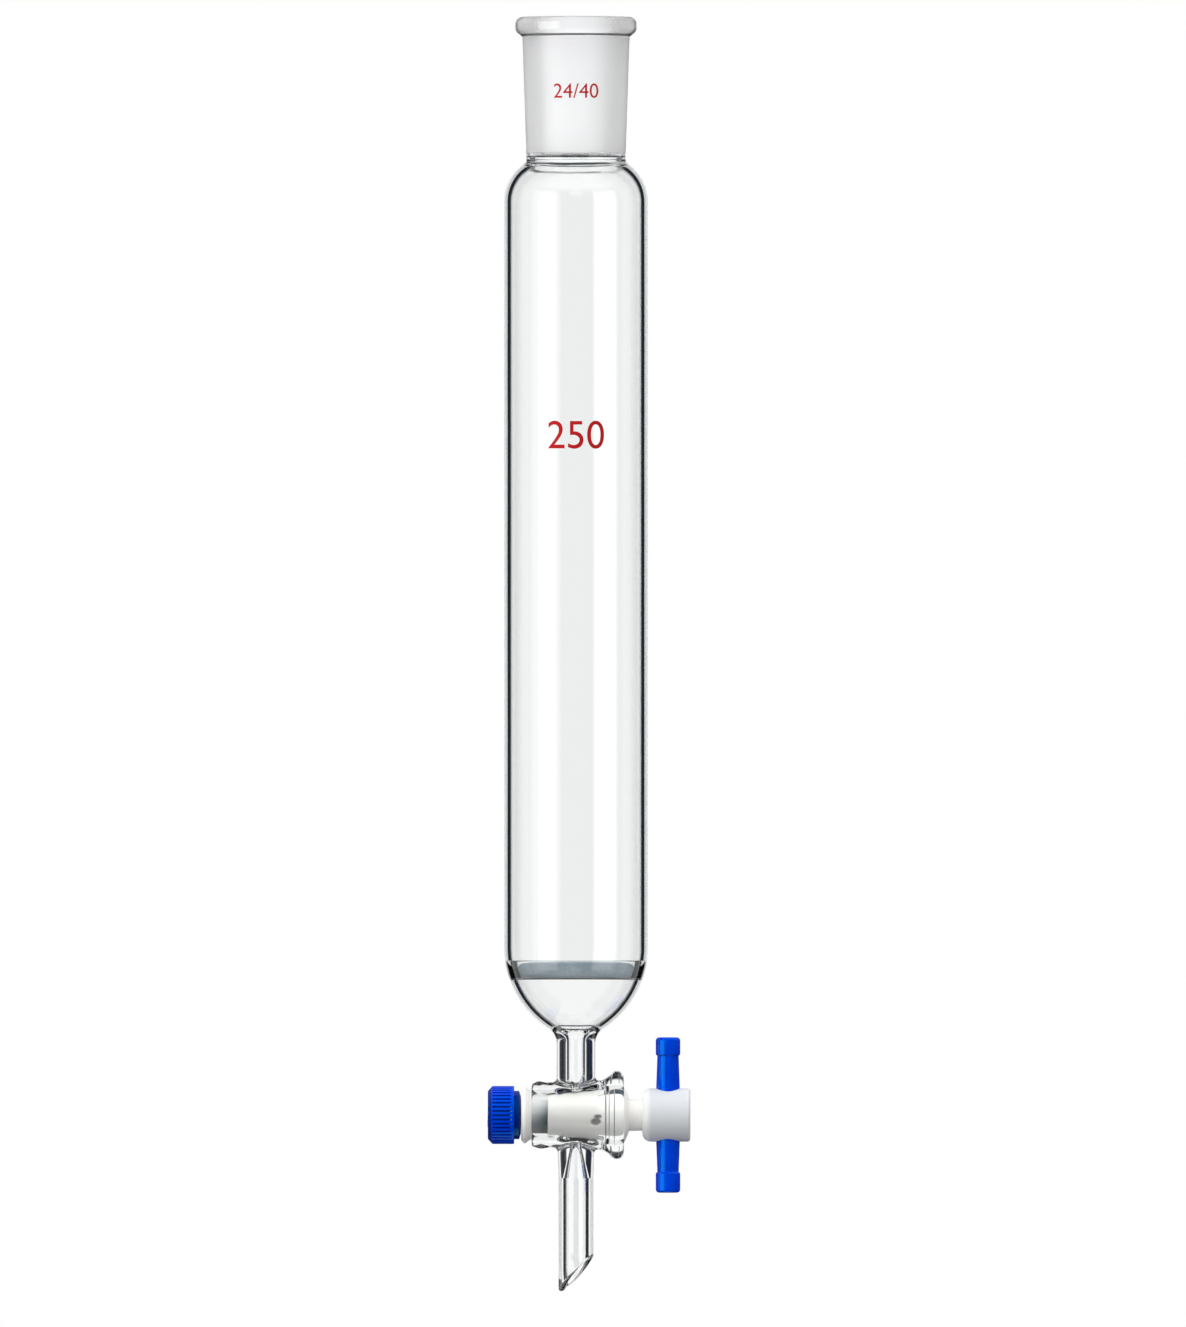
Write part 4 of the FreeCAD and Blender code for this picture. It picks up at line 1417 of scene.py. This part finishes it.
@dataclass
class StopcockPlug:
    """Plug turned in one piece: threaded tail, taper, domed shoulder, neck and hub."""

    seat_x: float = -8.4
    small_radius: float = 6.0
    taper: float = 0.1
    taper_length: float = 22.8
    dome: float = 1.5
    neck_radius: float = 4.75
    neck_length: float = 4.0
    hub_radius: float = 8.0
    hub_inner_rounding: float = 2.5
    hub_outer_rounding: float = 0.9
    tail_radius: float = 4.0
    tail_chamfer: float = 0.5
    flat_depth: float = 1.0
    thread_end: float = -16.6
    thread_fade: float = 1.0
    thread_step: float = 0.125
    port_radius: float = 1.0
    port_square: float = 5.0
    socket_radius: float = 3.6
    socket_floor: float = 3.5
    socket_square: float = 4.6
    arm_x: float = 27.6
    dimple_depth: float = 0.4
    dimple_lobes: tuple = ((6.6, -0.35, 1.3, 0.58), (6.0, -1.75, 1.6, 1.0))

    def dimple(self, length: np.ndarray, radius: np.ndarray) -> np.ndarray:
        """Depth of the two-lobed dimple in front of the taper.

        Each lobe is depth * exp(-(x across its half-width) to the 4th - (height across) to the 4th).

        Args:
            length: x of each row.
            radius: radius of each row and column.

        Returns:
            Depths, rows x columns.
        """
        turn = turns()
        height = radius * np.cos(turn)
        lobes = [np.exp(-((length[:, None] - x) / half_x) ** 4 - ((height - z) / half_z) ** 4)
                 for x, z, half_x, half_z in self.dimple_lobes]
        return self.dimple_depth * np.maximum(*lobes) * (np.sin(turn) < 0)

    def taper_radius(self, x: np.ndarray) -> np.ndarray:
        """Radius of the taper at each x."""
        return self.small_radius + self.taper * (x - self.seat_x)

    def hub_at(self, x: np.ndarray) -> np.ndarray:
        """Radius of the hub's straight stretch at each x."""
        return self.hub_radius + 0 * x

    def tail(self, start_x: float, thread: Thread) -> tuple[np.ndarray, np.ndarray]:
        """Rows of the threaded tail with its flat on top.

        Args:
            start_x: the tail's free end.
            thread: its thread, which fades out before the washer.

        Returns:
            x of each row, and the radius of each row and column.
        """
        cut = np.arange(start_x + self.tail_chamfer, self.thread_end, self.thread_step)
        x = np.concatenate(([start_x], cut, [self.thread_end, self.seat_x]))
        fade = np.clip((self.thread_end - x) / self.thread_fade, 0, 1)[:, None]
        chamfer = np.clip(start_x + self.tail_chamfer - x, 0, self.tail_chamfer)[:, None]
        radius = self.tail_radius - thread.depth_at(x, TURNED_COLUMNS) * fade
        radius = np.minimum(radius, self.tail_radius - chamfer)
        return x, np.minimum(radius, flat_on_top(self.tail_radius - self.flat_depth))

    def make(self, material: bpy.types.Material, thread: Thread) -> bpy.types.Object:
        """Builds the plug.

        Args:
            material: its white plastic.
            thread: the thread of its tail.

        Returns:
            The plug.
        """
        low, high = node_box("stopcock_plug")
        axis_z = (low[2] + high[2]) / 2
        large_x = self.seat_x + self.taper_length
        large = float(self.taper_radius(np.array(large_x)))
        neck_x = large_x + self.dome
        dome_middle = (large_x + neck_x) / 2 - (large ** 2 - self.neck_radius ** 2) / (2 * self.dome)
        dome_radius = math.hypot(large_x - dome_middle, large)
        port_x = np.linspace(-self.port_square, self.port_square, SIDE_CELLS + 1)
        after_port = np.linspace(self.port_square, large_x, 40)[1:-1]
        before_port = np.linspace(self.seat_x, -self.port_square, 5)[:-1]
        hub_start = neck_x + self.neck_length
        hub_x = np.linspace(self.arm_x - self.socket_square, self.arm_x + self.socket_square, SIDE_CELLS + 1)
        tail_x, tail_radius = self.tail(low[0], thread)
        outline = [
            profile(before_port, self.taper_radius),
            profile(port_x, self.taper_radius),
            profile(after_port, self.taper_radius),
            arc((dome_middle, 0.0), dome_radius, bearing((dome_middle, 0.0), (large_x, large)),
                bearing((dome_middle, 0.0), (neck_x, self.neck_radius)), 8),
            rounded(((neck_x, self.neck_radius, 0), (hub_start, self.neck_radius, 0),
                     (hub_start, self.hub_radius, self.hub_inner_rounding),
                     (hub_x[0], self.hub_radius, 0)))[1:-1],
            profile(hub_x, self.hub_at),
            rounded(((hub_x[-1], self.hub_radius, 0), (high[0], self.hub_radius, self.hub_outer_rounding),
                     (high[0], 0, 0)))[1:],
        ]
        counts = np.cumsum([len(tail_x) + 1] + [len(part) for part in outline])
        rows = np.concatenate(outline)
        radius = np.concatenate((np.zeros((1, TURNED_COLUMNS)), tail_radius,
                                 rows[:, 1:] + np.zeros(TURNED_COLUMNS)))
        length = np.concatenate((tail_x[:1], tail_x, rows[:, 0]))
        body = turned_about_x(length, radius - self.dimple(length, radius), axis_z, TURNED_COLUMNS)
        keep = np.ones((len(length) - 1, TURNED_COLUMNS), dtype=bool)
        skin = Skin()
        ports = []
        for side in Side:
            port = SideHole(int(counts[1]), side, 0.0, self.port_radius)
            socket = SideHole(int(counts[5]), side, self.arm_x, self.socket_radius)
            port.cut(keep)
            socket.cut(keep)
            port_patch = port.patch(body, self.taper_radius, axis_z)
            socket_patch = socket.patch(body, self.hub_at, axis_z)
            floor = level_rings(((self.socket_radius, self.socket_floor), (0, self.socket_floor)),
                                axis_z, side, self.arm_x)
            skin.grid(port_patch)
            skin.grid(np.concatenate((socket_patch, floor)))
            ports.append(port_patch[-1])
        skin.grid(np.stack(ports))
        skin.grid(body, keep=keep)
        plug = skin.make("turned_plug", (material,))
        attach(plug, "plug")
        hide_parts("stopcock_plug")
        return plug


@dataclass
class HandleArm:
    """One blue arm of the handle: a shank that widens towards the hub, and a rounded cap."""

    side: Side
    socket_floor: float = 3.5
    root_radius: float = 3.55
    hub_radius: float = 8.0
    shank_radius: float = 3.2
    neck_rounding: float = 0.3
    cap_radius: float = 3.675
    cap_length: float = 5.8
    cap_rounding: float = 1.0
    columns: int = 96

    def make(self, material: bpy.types.Material, centre_x: float, axis_z: float) -> bpy.types.Object:
        """Builds the arm.

        Args:
            material: its blue plastic.
            centre_x: where its axis stands.
            axis_z: height of the stopcock's axis.

        Returns:
            The arm.
        """
        node = "handle_arm_upper" if self.side is Side.UP else "handle_arm_lower"
        low, high = node_box(node)
        way = self.side.value
        tip = high[2] if self.side is Side.UP else low[2]
        cap_foot = tip - way * self.cap_length
        neck = cap_foot - way * (self.cap_radius - self.shank_radius)
        outline = rounded((
            (0, axis_z + way * self.socket_floor, 0),
            (self.root_radius, axis_z + way * self.socket_floor, 0),
            (self.root_radius, axis_z + way * self.hub_radius, 0),
            (self.shank_radius, neck, self.neck_rounding),
            (self.cap_radius, cap_foot, self.cap_rounding / 3),
            (self.cap_radius, tip, self.cap_rounding),
            (0, tip, 0),
        ), samples=9)
        arm = one_grid(node.replace("handle", "blue"), material,
                       turned_about_z(outline, turns(self.columns), centre_x))
        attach(arm, "plug")
        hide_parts(node)
        return arm


@dataclass
class FlangedWasher:
    """White washer: flat against the barrel, flanged and dished towards the nut, keyed to the tail."""

    body_radius: float = 7.35
    face_radius: float = 7.5
    setback: float = 0.95
    cone_length: float = 1.85
    rounding: float = 0.35
    dish_radius: float = 5.5
    dish_depth: float = 1.4
    hole_radius: float = 4.1
    flat_height: float = 3.1
    face_gap: float = 0.02
    face_rounding: float = 0.15
    dish_rounding: float = 0.12

    def make(self, material: bpy.types.Material) -> bpy.types.Object:
        """Builds the washer.

        Args:
            material: its white plastic.

        Returns:
            The washer.
        """
        low, high = node_box("flanged_washer")
        axis_z = (low[2] + high[2]) / 2
        flange_x = low[0] + self.setback
        face_x = high[0] - self.face_gap
        outline = rounded((
            (face_x, self.hole_radius, 0),
            (face_x, self.body_radius, self.face_rounding),
            (flange_x + self.cone_length, self.body_radius, 0),
            (flange_x, high[1], self.rounding),
            (low[0], self.face_radius, self.rounding),
            (low[0], self.dish_radius, self.dish_rounding),
            (low[0] + self.dish_depth, self.dish_radius, 0),
            (low[0] + self.dish_depth, self.hole_radius, 0),
            (face_x, self.hole_radius, 0),
        ))
        radius = outline[:, 1:] + np.zeros(TURNED_COLUMNS)
        in_hole = outline[:, 1:] <= self.hole_radius
        radius = np.where(in_hole, np.minimum(radius, flat_on_top(self.flat_height)), radius)
        washer = one_grid("keyed_washer", material,
                          turned_about_x(outline[:, 0], radius, axis_z, TURNED_COLUMNS))
        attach(washer, "washer_pack")
        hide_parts("flanged_washer")
        return washer


@dataclass
class LockNut:
    """Blue nut: nose, collar, a band, a grip with ribs and a chamfered outer end."""

    nose_radius: float = 5.6
    collar_radius: float = 7.25
    nose_length: float = 0.5
    collar_length: float = 1.5
    band_length: float = 0.6
    ribbed_length: float = 5.8
    end_radius: float = 7.2
    end_rounding: float = 0.6
    rounding: float = 0.25
    rib_count: int = 42
    rib_steps: int = 12
    groove_share: float = 0.5
    groove_depth: float = 0.45
    bore_radius: float = 4.08
    bore_step: float = 0.25
    grip_rows: int = 10
    end_land: float = 0.1

    def make(self, thread: Thread) -> bpy.types.Object:
        """Builds the nut.

        Args:
            thread: the thread of its hole, a hair wider than the tail's.

        Returns:
            The nut.
        """
        low, high = node_box("lock_nut")
        axis_z = (low[2] + high[2]) / 2
        columns = self.rib_count * self.rib_steps
        collar_x = high[0] - self.nose_length
        band_x = collar_x - self.collar_length
        ribbed_x = band_x - self.band_length
        end_x = ribbed_x - self.ribbed_length
        grip = high[1]
        bore_x = np.arange(low[0], high[0], self.bore_step)
        outline = np.concatenate((
            rounded((
                (high[0], self.bore_radius, 0),
                (high[0], self.nose_radius, 0),
                (collar_x, self.collar_radius, self.rounding),
                (band_x, self.collar_radius, 0),
                (band_x, grip, self.rounding),
                (ribbed_x, grip, 0),
            )),
            np.linspace((ribbed_x, grip), (end_x, grip), self.grip_rows),
            rounded((
                (end_x, grip, 0),
                (end_x - self.end_land, grip, 0),
                (low[0], self.end_radius, self.end_rounding),
                (low[0], self.bore_radius, 0),
            )),
        ))
        rib = np.arange(columns) % self.rib_steps / self.rib_steps
        groove = np.clip((self.groove_share / 2 - np.abs(rib - 0.5)) * self.rib_steps, 0, 1)
        in_grip = (outline[:, 0] < ribbed_x - CLOSE) & (outline[:, 0] > end_x - CLOSE)
        radius = outline[:, 1:] - self.groove_depth * groove * in_grip[:, None]
        bore = self.bore_radius - thread.depth_at(bore_x, columns)
        length = np.concatenate((outline[:, 0], bore_x, high[:1]))
        radius = np.concatenate((radius, bore, np.full((1, columns), self.bore_radius)))
        ribbed_blue = MouldedBlue().make("ribbed_blue", (axis_z * MM, grip * MM))
        nut = one_grid("ribbed_nut", ribbed_blue, turned_about_x(length, radius, axis_z, columns))
        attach(nut, "nut")
        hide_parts("lock_nut")
        return nut


@dataclass
class Print:
    """Plain figures fired on to the glass.

    Attributes:
        name: the piece's name.
        words: the figures.
        height: height of a figure.
        middle_z: height of the print's middle on the column.
        foot_radius: radius of the glass at the lower edge of its cone, or of the tube.
        slope: growth of that radius for each step upwards.
        foot_z: height where the foot radius is measured.
        width: stretch of the figures sideways.
        lift: how far the print lies off the glass.
        strip: width of the upright strips that it is cut into.
        figure_share: height of a figure, as a share of the font's size.
    """

    name: str
    words: str
    height: float
    middle_z: float
    foot_radius: float
    slope: float = 0.0
    foot_z: float = 0.0
    width: float = 1.0
    lift: float = 0.02
    strip: float = 0.5
    figure_share: float = 0.7

    def make(self, material: bpy.types.Material) -> bpy.types.Object:
        """Lays the figures out flat, cuts them into upright strips and bends them round the glass.

        A flat point (u, v) goes to angle u / radius, at the height v, a hair off the surface.

        Args:
            material: the ink.

        Returns:
            The print.
        """
        curve = bpy.data.curves.new(self.name, "FONT")
        curve.body = self.words
        curve.align_x = "CENTER"
        curve.align_y = "CENTER"
        curve.size = self.height * MM / self.figure_share
        flat = bpy.data.objects.new(self.name + "_flat", curve)
        bpy.context.scene.collection.objects.link(flat)
        bpy.context.view_layer.update()
        mesh = bpy.data.meshes.new_from_object(flat.evaluated_get(bpy.context.evaluated_depsgraph_get()))
        bpy.data.objects.remove(flat)
        bpy.data.curves.remove(curve)
        work = bmesh.new()
        work.from_mesh(mesh)
        bmesh.ops.remove_doubles(work, verts=work.verts, dist=WELD_DISTANCE)
        reach = max(abs(vertex.co.x) for vertex in work.verts)
        for place in np.arange(-reach, reach, self.strip * MM):
            bmesh.ops.bisect_plane(work, geom=work.verts[:] + work.edges[:] + work.faces[:],
                                   plane_co=(place, 0, 0), plane_no=(1, 0, 0))
        bmesh.ops.triangulate(work, faces=work.faces)
        work.to_mesh(mesh)
        work.free()
        points = np.empty(len(mesh.vertices) * 3)
        mesh.vertices.foreach_get("co", points)
        u, v, _ = points.reshape(-1, 3).T / MM
        v = v - (v.max() + v.min()) / 2
        z = self.middle_z + v
        radius = self.foot_radius + self.slope * (z - self.foot_z) + self.lift
        angle = u * self.width / radius
        bent = np.column_stack((radius * np.sin(angle), -radius * np.cos(angle), z)) * MM
        mesh.vertices.foreach_set("co", bent.ravel())
        mesh.materials.clear()
        mesh.materials.append(material)
        mesh.update()
        label = bpy.data.objects.new(self.name, mesh)
        bpy.context.scene.collection.objects.link(label)
        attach(label, "glass_column")
        return label


@dataclass(frozen=True)
class Studio:
    """Camera, pale floor and soft light.

    Attributes:
        view_height: height that the photograph's frame covers at the object, in metres.
        middle: point that the frame is centred on.
        distance: how far the camera stands off.
        soft_edge: half the width of every soft edge, in degrees.
        sensor: height of the camera's sensor, in millimetres.
        floor_height, floor_size, floor_grey: where the floor lies, its side and its colour.
        flag_colour: what little light the flags send back.
        wall_end: angle where the walls give way to the dark behind.
        wall_front, wall_back: light of the white walls where they start and where they end.
        flag_start, flag_end: angles from straight ahead between which the flags are dark.
        inner_flag_end: the same end for what is mirrored inside a wall of glass.
        flag_depth: how much of the light a flag takes.
        mirrored_often: count of mirrorings past which no light comes back.
        crossed_often: count of faces of glass past which only white is seen.
        level_light: light from straight above or below ahead, where no flag stands.
        level_width, level_height: how far sideways it reaches, and how steep it sets in.
        left_box, right_box: angles between which each soft box stands.
        box_strength, box_top: light of the boxes behind, and the steepness where they end.
        steep_light, steep_start: light from steeply above behind, and how steep it sets in.
        rod_start, rod_end: angles between which solid glass shows the flags.
        veil_light, veil_dark: what matt glass sees ahead, and away from there.
        veil_range: share of the way ahead where the one gives way to the other.
        sheen_strength, sheen_from_above, sheen_floor: what matt pieces mirror.
        plain_light, light_from_above, light_from_left: level light on all else, and how much more
            comes from above and from the left.
        least_light: the least light that the plain kinds fall to.
        behind_glass, above_glass: level light that reaches matt pieces through glass, and how much
            more comes from above.
    """

    view_height: float = 0.3981
    middle: Pair = (0.0051, -0.0267)
    distance: float = 10.0
    soft_edge: float = 2.0
    sensor: float = 24.0
    floor_height: float = -1.1
    floor_size: float = 0.8
    floor_grey: Colour = (0.86, 0.86, 0.86)
    flag_start: float = 25.0
    flag_end: float = 49.0
    inner_flag_end: float = 73.0
    flag_depth: float = 0.985
    mirrored_often: float = 2.5
    crossed_often: float = 2.5
    level_light: float = 0.85
    level_width: Pair = (0.22, 0.12)
    level_height: Pair = (0.25, 0.4)
    flag_colour: Colour = (0.010, 0.019, 0.025)
    wall_end: float = 100.0
    wall_front: float = 1.35
    wall_back: float = 0.15
    left_box: Pair = (101.8, 146.5)
    right_box: Pair = (109.6, 151.0)
    box_strength: float = 1.5
    box_top: Pair = (0.5, 0.4)
    steep_light: float = 0.9
    steep_start: Pair = (0.45, 0.6)
    veil_light: float = 1.45
    veil_dark: float = 0.1
    veil_range: Pair = (0.45, 0.98)
    rod_start: float = 21.0
    rod_end: float = 46.0
    sheen_strength: float = 4.4
    sheen_from_above: float = 0.5
    sheen_floor: float = 0.04
    plain_light: float = 0.76
    light_from_above: float = 0.95
    light_from_left: float = 0.15
    least_light: float = 0.02
    behind_glass: float = 1.3
    above_glass: float = 2.6

    def camera(self) -> None:
        """Level camera in front of the object, looking along +Y with a long lens."""
        data = bpy.data.cameras.new("camera")
        data.sensor_fit = "VERTICAL"
        data.sensor_height = self.sensor
        data.lens = self.sensor * self.distance / self.view_height
        camera = bpy.data.objects.new("camera", data)
        camera.location = (self.middle[0], -self.distance, self.middle[1])
        camera.rotation_euler = (math.pi / 2, 0.0, 0.0)
        bpy.context.scene.collection.objects.link(camera)
        bpy.context.scene.camera = camera

    def world(self) -> None:
        """White backdrop with dark flags round it, which clear glass shows along its edges.

        A ray that only crosses walls of glass sees white. One that glass mirrors, on its face or
        inside its wall, sees a room: the backdrop ahead, a dark ring of flags round it, white walls
        at the sides, and two tall soft boxes in the dark behind; mirrored three times, it is lost.
        Solid glass sees a dark ring. Matt glass sees the backdrop, less white to the sides, and matt
        pieces mirror one soft box and the light from above. All else gets plain light, brighter from
        above.
        """
        world = bpy.data.worlds.new("studio")
        bpy.context.scene.world = world
        world.use_nodes = True
        graph = Graph(world.node_tree)
        step, choose, calculate = graph.step, graph.choose, graph.calculate
        direction = graph.value("ShaderNodeTexCoord", "Generated")
        x, y, z = (graph.value("ShaderNodeSeparateXYZ", axis, {0: direction}) for axis in "XYZ")

        def path(output: str) -> Value:
            """What the Light Path node says of a ray."""
            return graph.value("ShaderNodeLightPath", output)

        def nearer(angle: float) -> Value:
            """1 closer to straight ahead than an angle, and 0 beyond it."""
            return step(y, cosine(angle + self.soft_edge), cosine(angle - self.soft_edge))

        def beyond(angle: float) -> Value:
            """0 closer to straight ahead than an angle, and 1 beyond it."""
            return step(y, cosine(angle - self.soft_edge), cosine(angle + self.soft_edge))

        def soft_box(low: float, high: float) -> Value:
            """1 between two angles round the upright axis, and 0 outside them."""
            starts = [math.radians(low - self.soft_edge), math.radians(low + self.soft_edge)]
            ends = [math.radians(high + self.soft_edge), math.radians(high - self.soft_edge)]
            return step(azimuth, *starts) * step(azimuth, *ends)

        azimuth = abs(calculate("ARCTAN2", x, y))
        boxes = [soft_box(*self.left_box), soft_box(*self.right_box)]
        is_left = calculate("LESS_THAN", x, 0.0)
        upright = step(abs(z), *self.box_top)
        both_boxes = choose(is_left, *boxes) * upright
        ahead, forward = nearer(self.flag_start), nearer(self.wall_end)
        behind = calculate("MAXIMUM", both_boxes * self.box_strength,
                           step(abs(z), *self.steep_start) * self.steep_light)
        wall_light = graph.spread(y, self.wall_back, self.wall_front, cosine(self.wall_end),
                                  cosine(self.flag_end))
        dark = 1.0 - self.flag_depth

        def room(flag_end: float) -> Value:
            """Backdrop, then dark flags up to an angle, then white walls, and the boxes behind."""
            lit = ahead + beyond(flag_end) * forward * wall_light + behind * (1.0 - forward)
            return calculate("MAXIMUM", lit, dark)

        lost = calculate("GREATER_THAN", path("Glossy Depth"), self.mirrored_often)
        over_flags = step(abs(x), *self.level_width) * step(abs(z), *self.level_height)
        inner_room = calculate("MAXIMUM", choose(lost, dark, room(self.inner_flag_end)),
                               over_flags * self.level_light)
        rod = 1.0 - beyond(self.rod_start) * nearer(self.rod_end) * self.flag_depth
        crossed_walls = calculate("GREATER_THAN", path("Transmission Depth"), self.crossed_often)
        was_mirrored = calculate("GREATER_THAN", path("Glossy Depth"), 0.5)
        through = choose(was_mirrored, inner_room, choose(crossed_walls, 1.0, rod))
        veiled = step(y, *self.veil_range) * (self.veil_light - self.veil_dark) + self.veil_dark
        through = choose(path("Is Singular Ray"), through, veiled)
        from_above = calculate("MAXIMUM", z, 0.0) * self.sheen_from_above
        sheen = is_left * boxes[0] * upright * self.sheen_strength + from_above + self.sheen_floor
        mirrored = choose(path("Is Singular Ray"), room(self.flag_end), sheen)
        plain = z * self.light_from_above + self.plain_light - x * self.light_from_left
        plain = calculate("MAXIMUM", plain, self.least_light)
        lit_through = calculate("MAXIMUM", z * self.above_glass + self.behind_glass, self.least_light)
        light = choose(path("Is Glossy Ray"), mirrored, plain)
        light = choose(path("Is Transmission Ray"), through, light)
        light = choose(calculate("GREATER_THAN", path("Diffuse Depth"), 0.5),
                       choose(path("Is Transmission Ray"), lit_through, plain), light)
        light = choose(path("Is Camera Ray"), 1.0, light)
        colour = graph.value("ShaderNodeCombineXYZ", 0, {
            channel: calculate("MAXIMUM", light, least) for channel, least in zip("XYZ", self.flag_colour)})
        background = graph.value("ShaderNodeBackground", 0, {"Color": colour})
        graph.node("ShaderNodeOutputWorld", {"Surface": background})

    def floor(self) -> None:
        """Small pale floor under the object, white where the camera or glass looks at it."""
        half = self.floor_size / 2
        corners = [(x, y, self.floor_height)
                   for x, y in ((-half, -half), (half, -half), (half, half), (-half, half))]
        mesh = bpy.data.meshes.new("floor")
        mesh.from_pydata(corners, [], [(0, 1, 2, 3)])
        nodes = Nodes("pale_floor")
        camera, glossy, transmission = (nodes.value("ShaderNodeLightPath", f"Is {kind} Ray")
                                        for kind in ("Camera", "Glossy", "Transmission"))
        seen = nodes.calculate("MAXIMUM", nodes.calculate("MAXIMUM", camera, glossy), transmission)
        matt = nodes.value("ShaderNodeBsdfDiffuse", 0, {"Color": (*self.floor_grey, 1.0)})
        white = nodes.value("ShaderNodeEmission", 0, {"Strength": 1.0})
        mix = nodes.node("ShaderNodeMixShader", {0: seen, 1: matt, 2: white})
        nodes.tree.links.new(mix.outputs[0], nodes.output.inputs["Surface"])
        mesh.materials.append(nodes.material)
        floor = bpy.data.objects.new("floor", mesh)
        bpy.context.scene.collection.objects.link(floor)

    def lamps(self) -> None:
        """One large soft lamp above and to the left, and a weaker one from the right."""
        for name, place, turn, size, power in (
                ("key", (-0.9, -1.0, 0.9), (55, 0, -42), 1.0, 11.0),
                ("fill", (1.1, -0.9, 0.2), (80, 0, 50), 1.0, 0.5)):
            data = bpy.data.lights.new(name, "AREA")
            data.size = size
            data.energy = power
            lamp = bpy.data.objects.new(name, data)
            lamp.location = place
            lamp.rotation_euler = tuple(math.radians(angle) for angle in turn)
            lamp.visible_glossy = False
            lamp.visible_transmission = False
            bpy.context.scene.collection.objects.link(lamp)

    def make(self) -> None:
        """Sets up camera, world, floor and lamps."""
        self.camera()
        self.world()
        self.floor()
        self.lamps()
        bpy.context.scene.view_settings.view_transform = "Standard"


def main() -> None:
    """Builds the studio and each sub-assembly in order."""
    logging.basicConfig(level=logging.INFO, format="%(message)s")
    Studio().make()
    thread = Thread()
    blue = MouldedBlue().make("moulded_blue")
    ink = FiredInk().make()
    column = FusedGlass()
    white = TurnedFluoroplastic().make(column.axis_z)
    neck_slope = (column.head_radius - column.neck_radius) / (column.ground_length - column.rim_height)
    pieces = [
        column.make(ClearGlass().make(), GroundGlass().make()),
        FritDisc().make(SinteredGlass().make()),
        StopcockPlug().make(white, thread),
        HandleArm(Side.UP, cap_length=5.1).make(blue, StopcockPlug.arm_x, column.axis_z),
        HandleArm(Side.DOWN).make(blue, StopcockPlug.arm_x, column.axis_z),
        FlangedWasher().make(white),
        LockNut().make(thread),
        Print("joint_size_figures", "24/40", 4.35, 144.9, column.neck_radius, neck_slope,
              column.joint_foot).make(ink),
        Print("capacity_figures", "250", 8.4, 41.8, column.tube_radius).make(ink),
    ]
    for piece in pieces:
        log.info("made %s with %d vertices", piece.name, len(piece.data.vertices))
    rubber = MouldedRubber().make()
    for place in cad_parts["o_ring"].material_slots:
        place.material = rubber


if __name__ == "__main__":
    main()
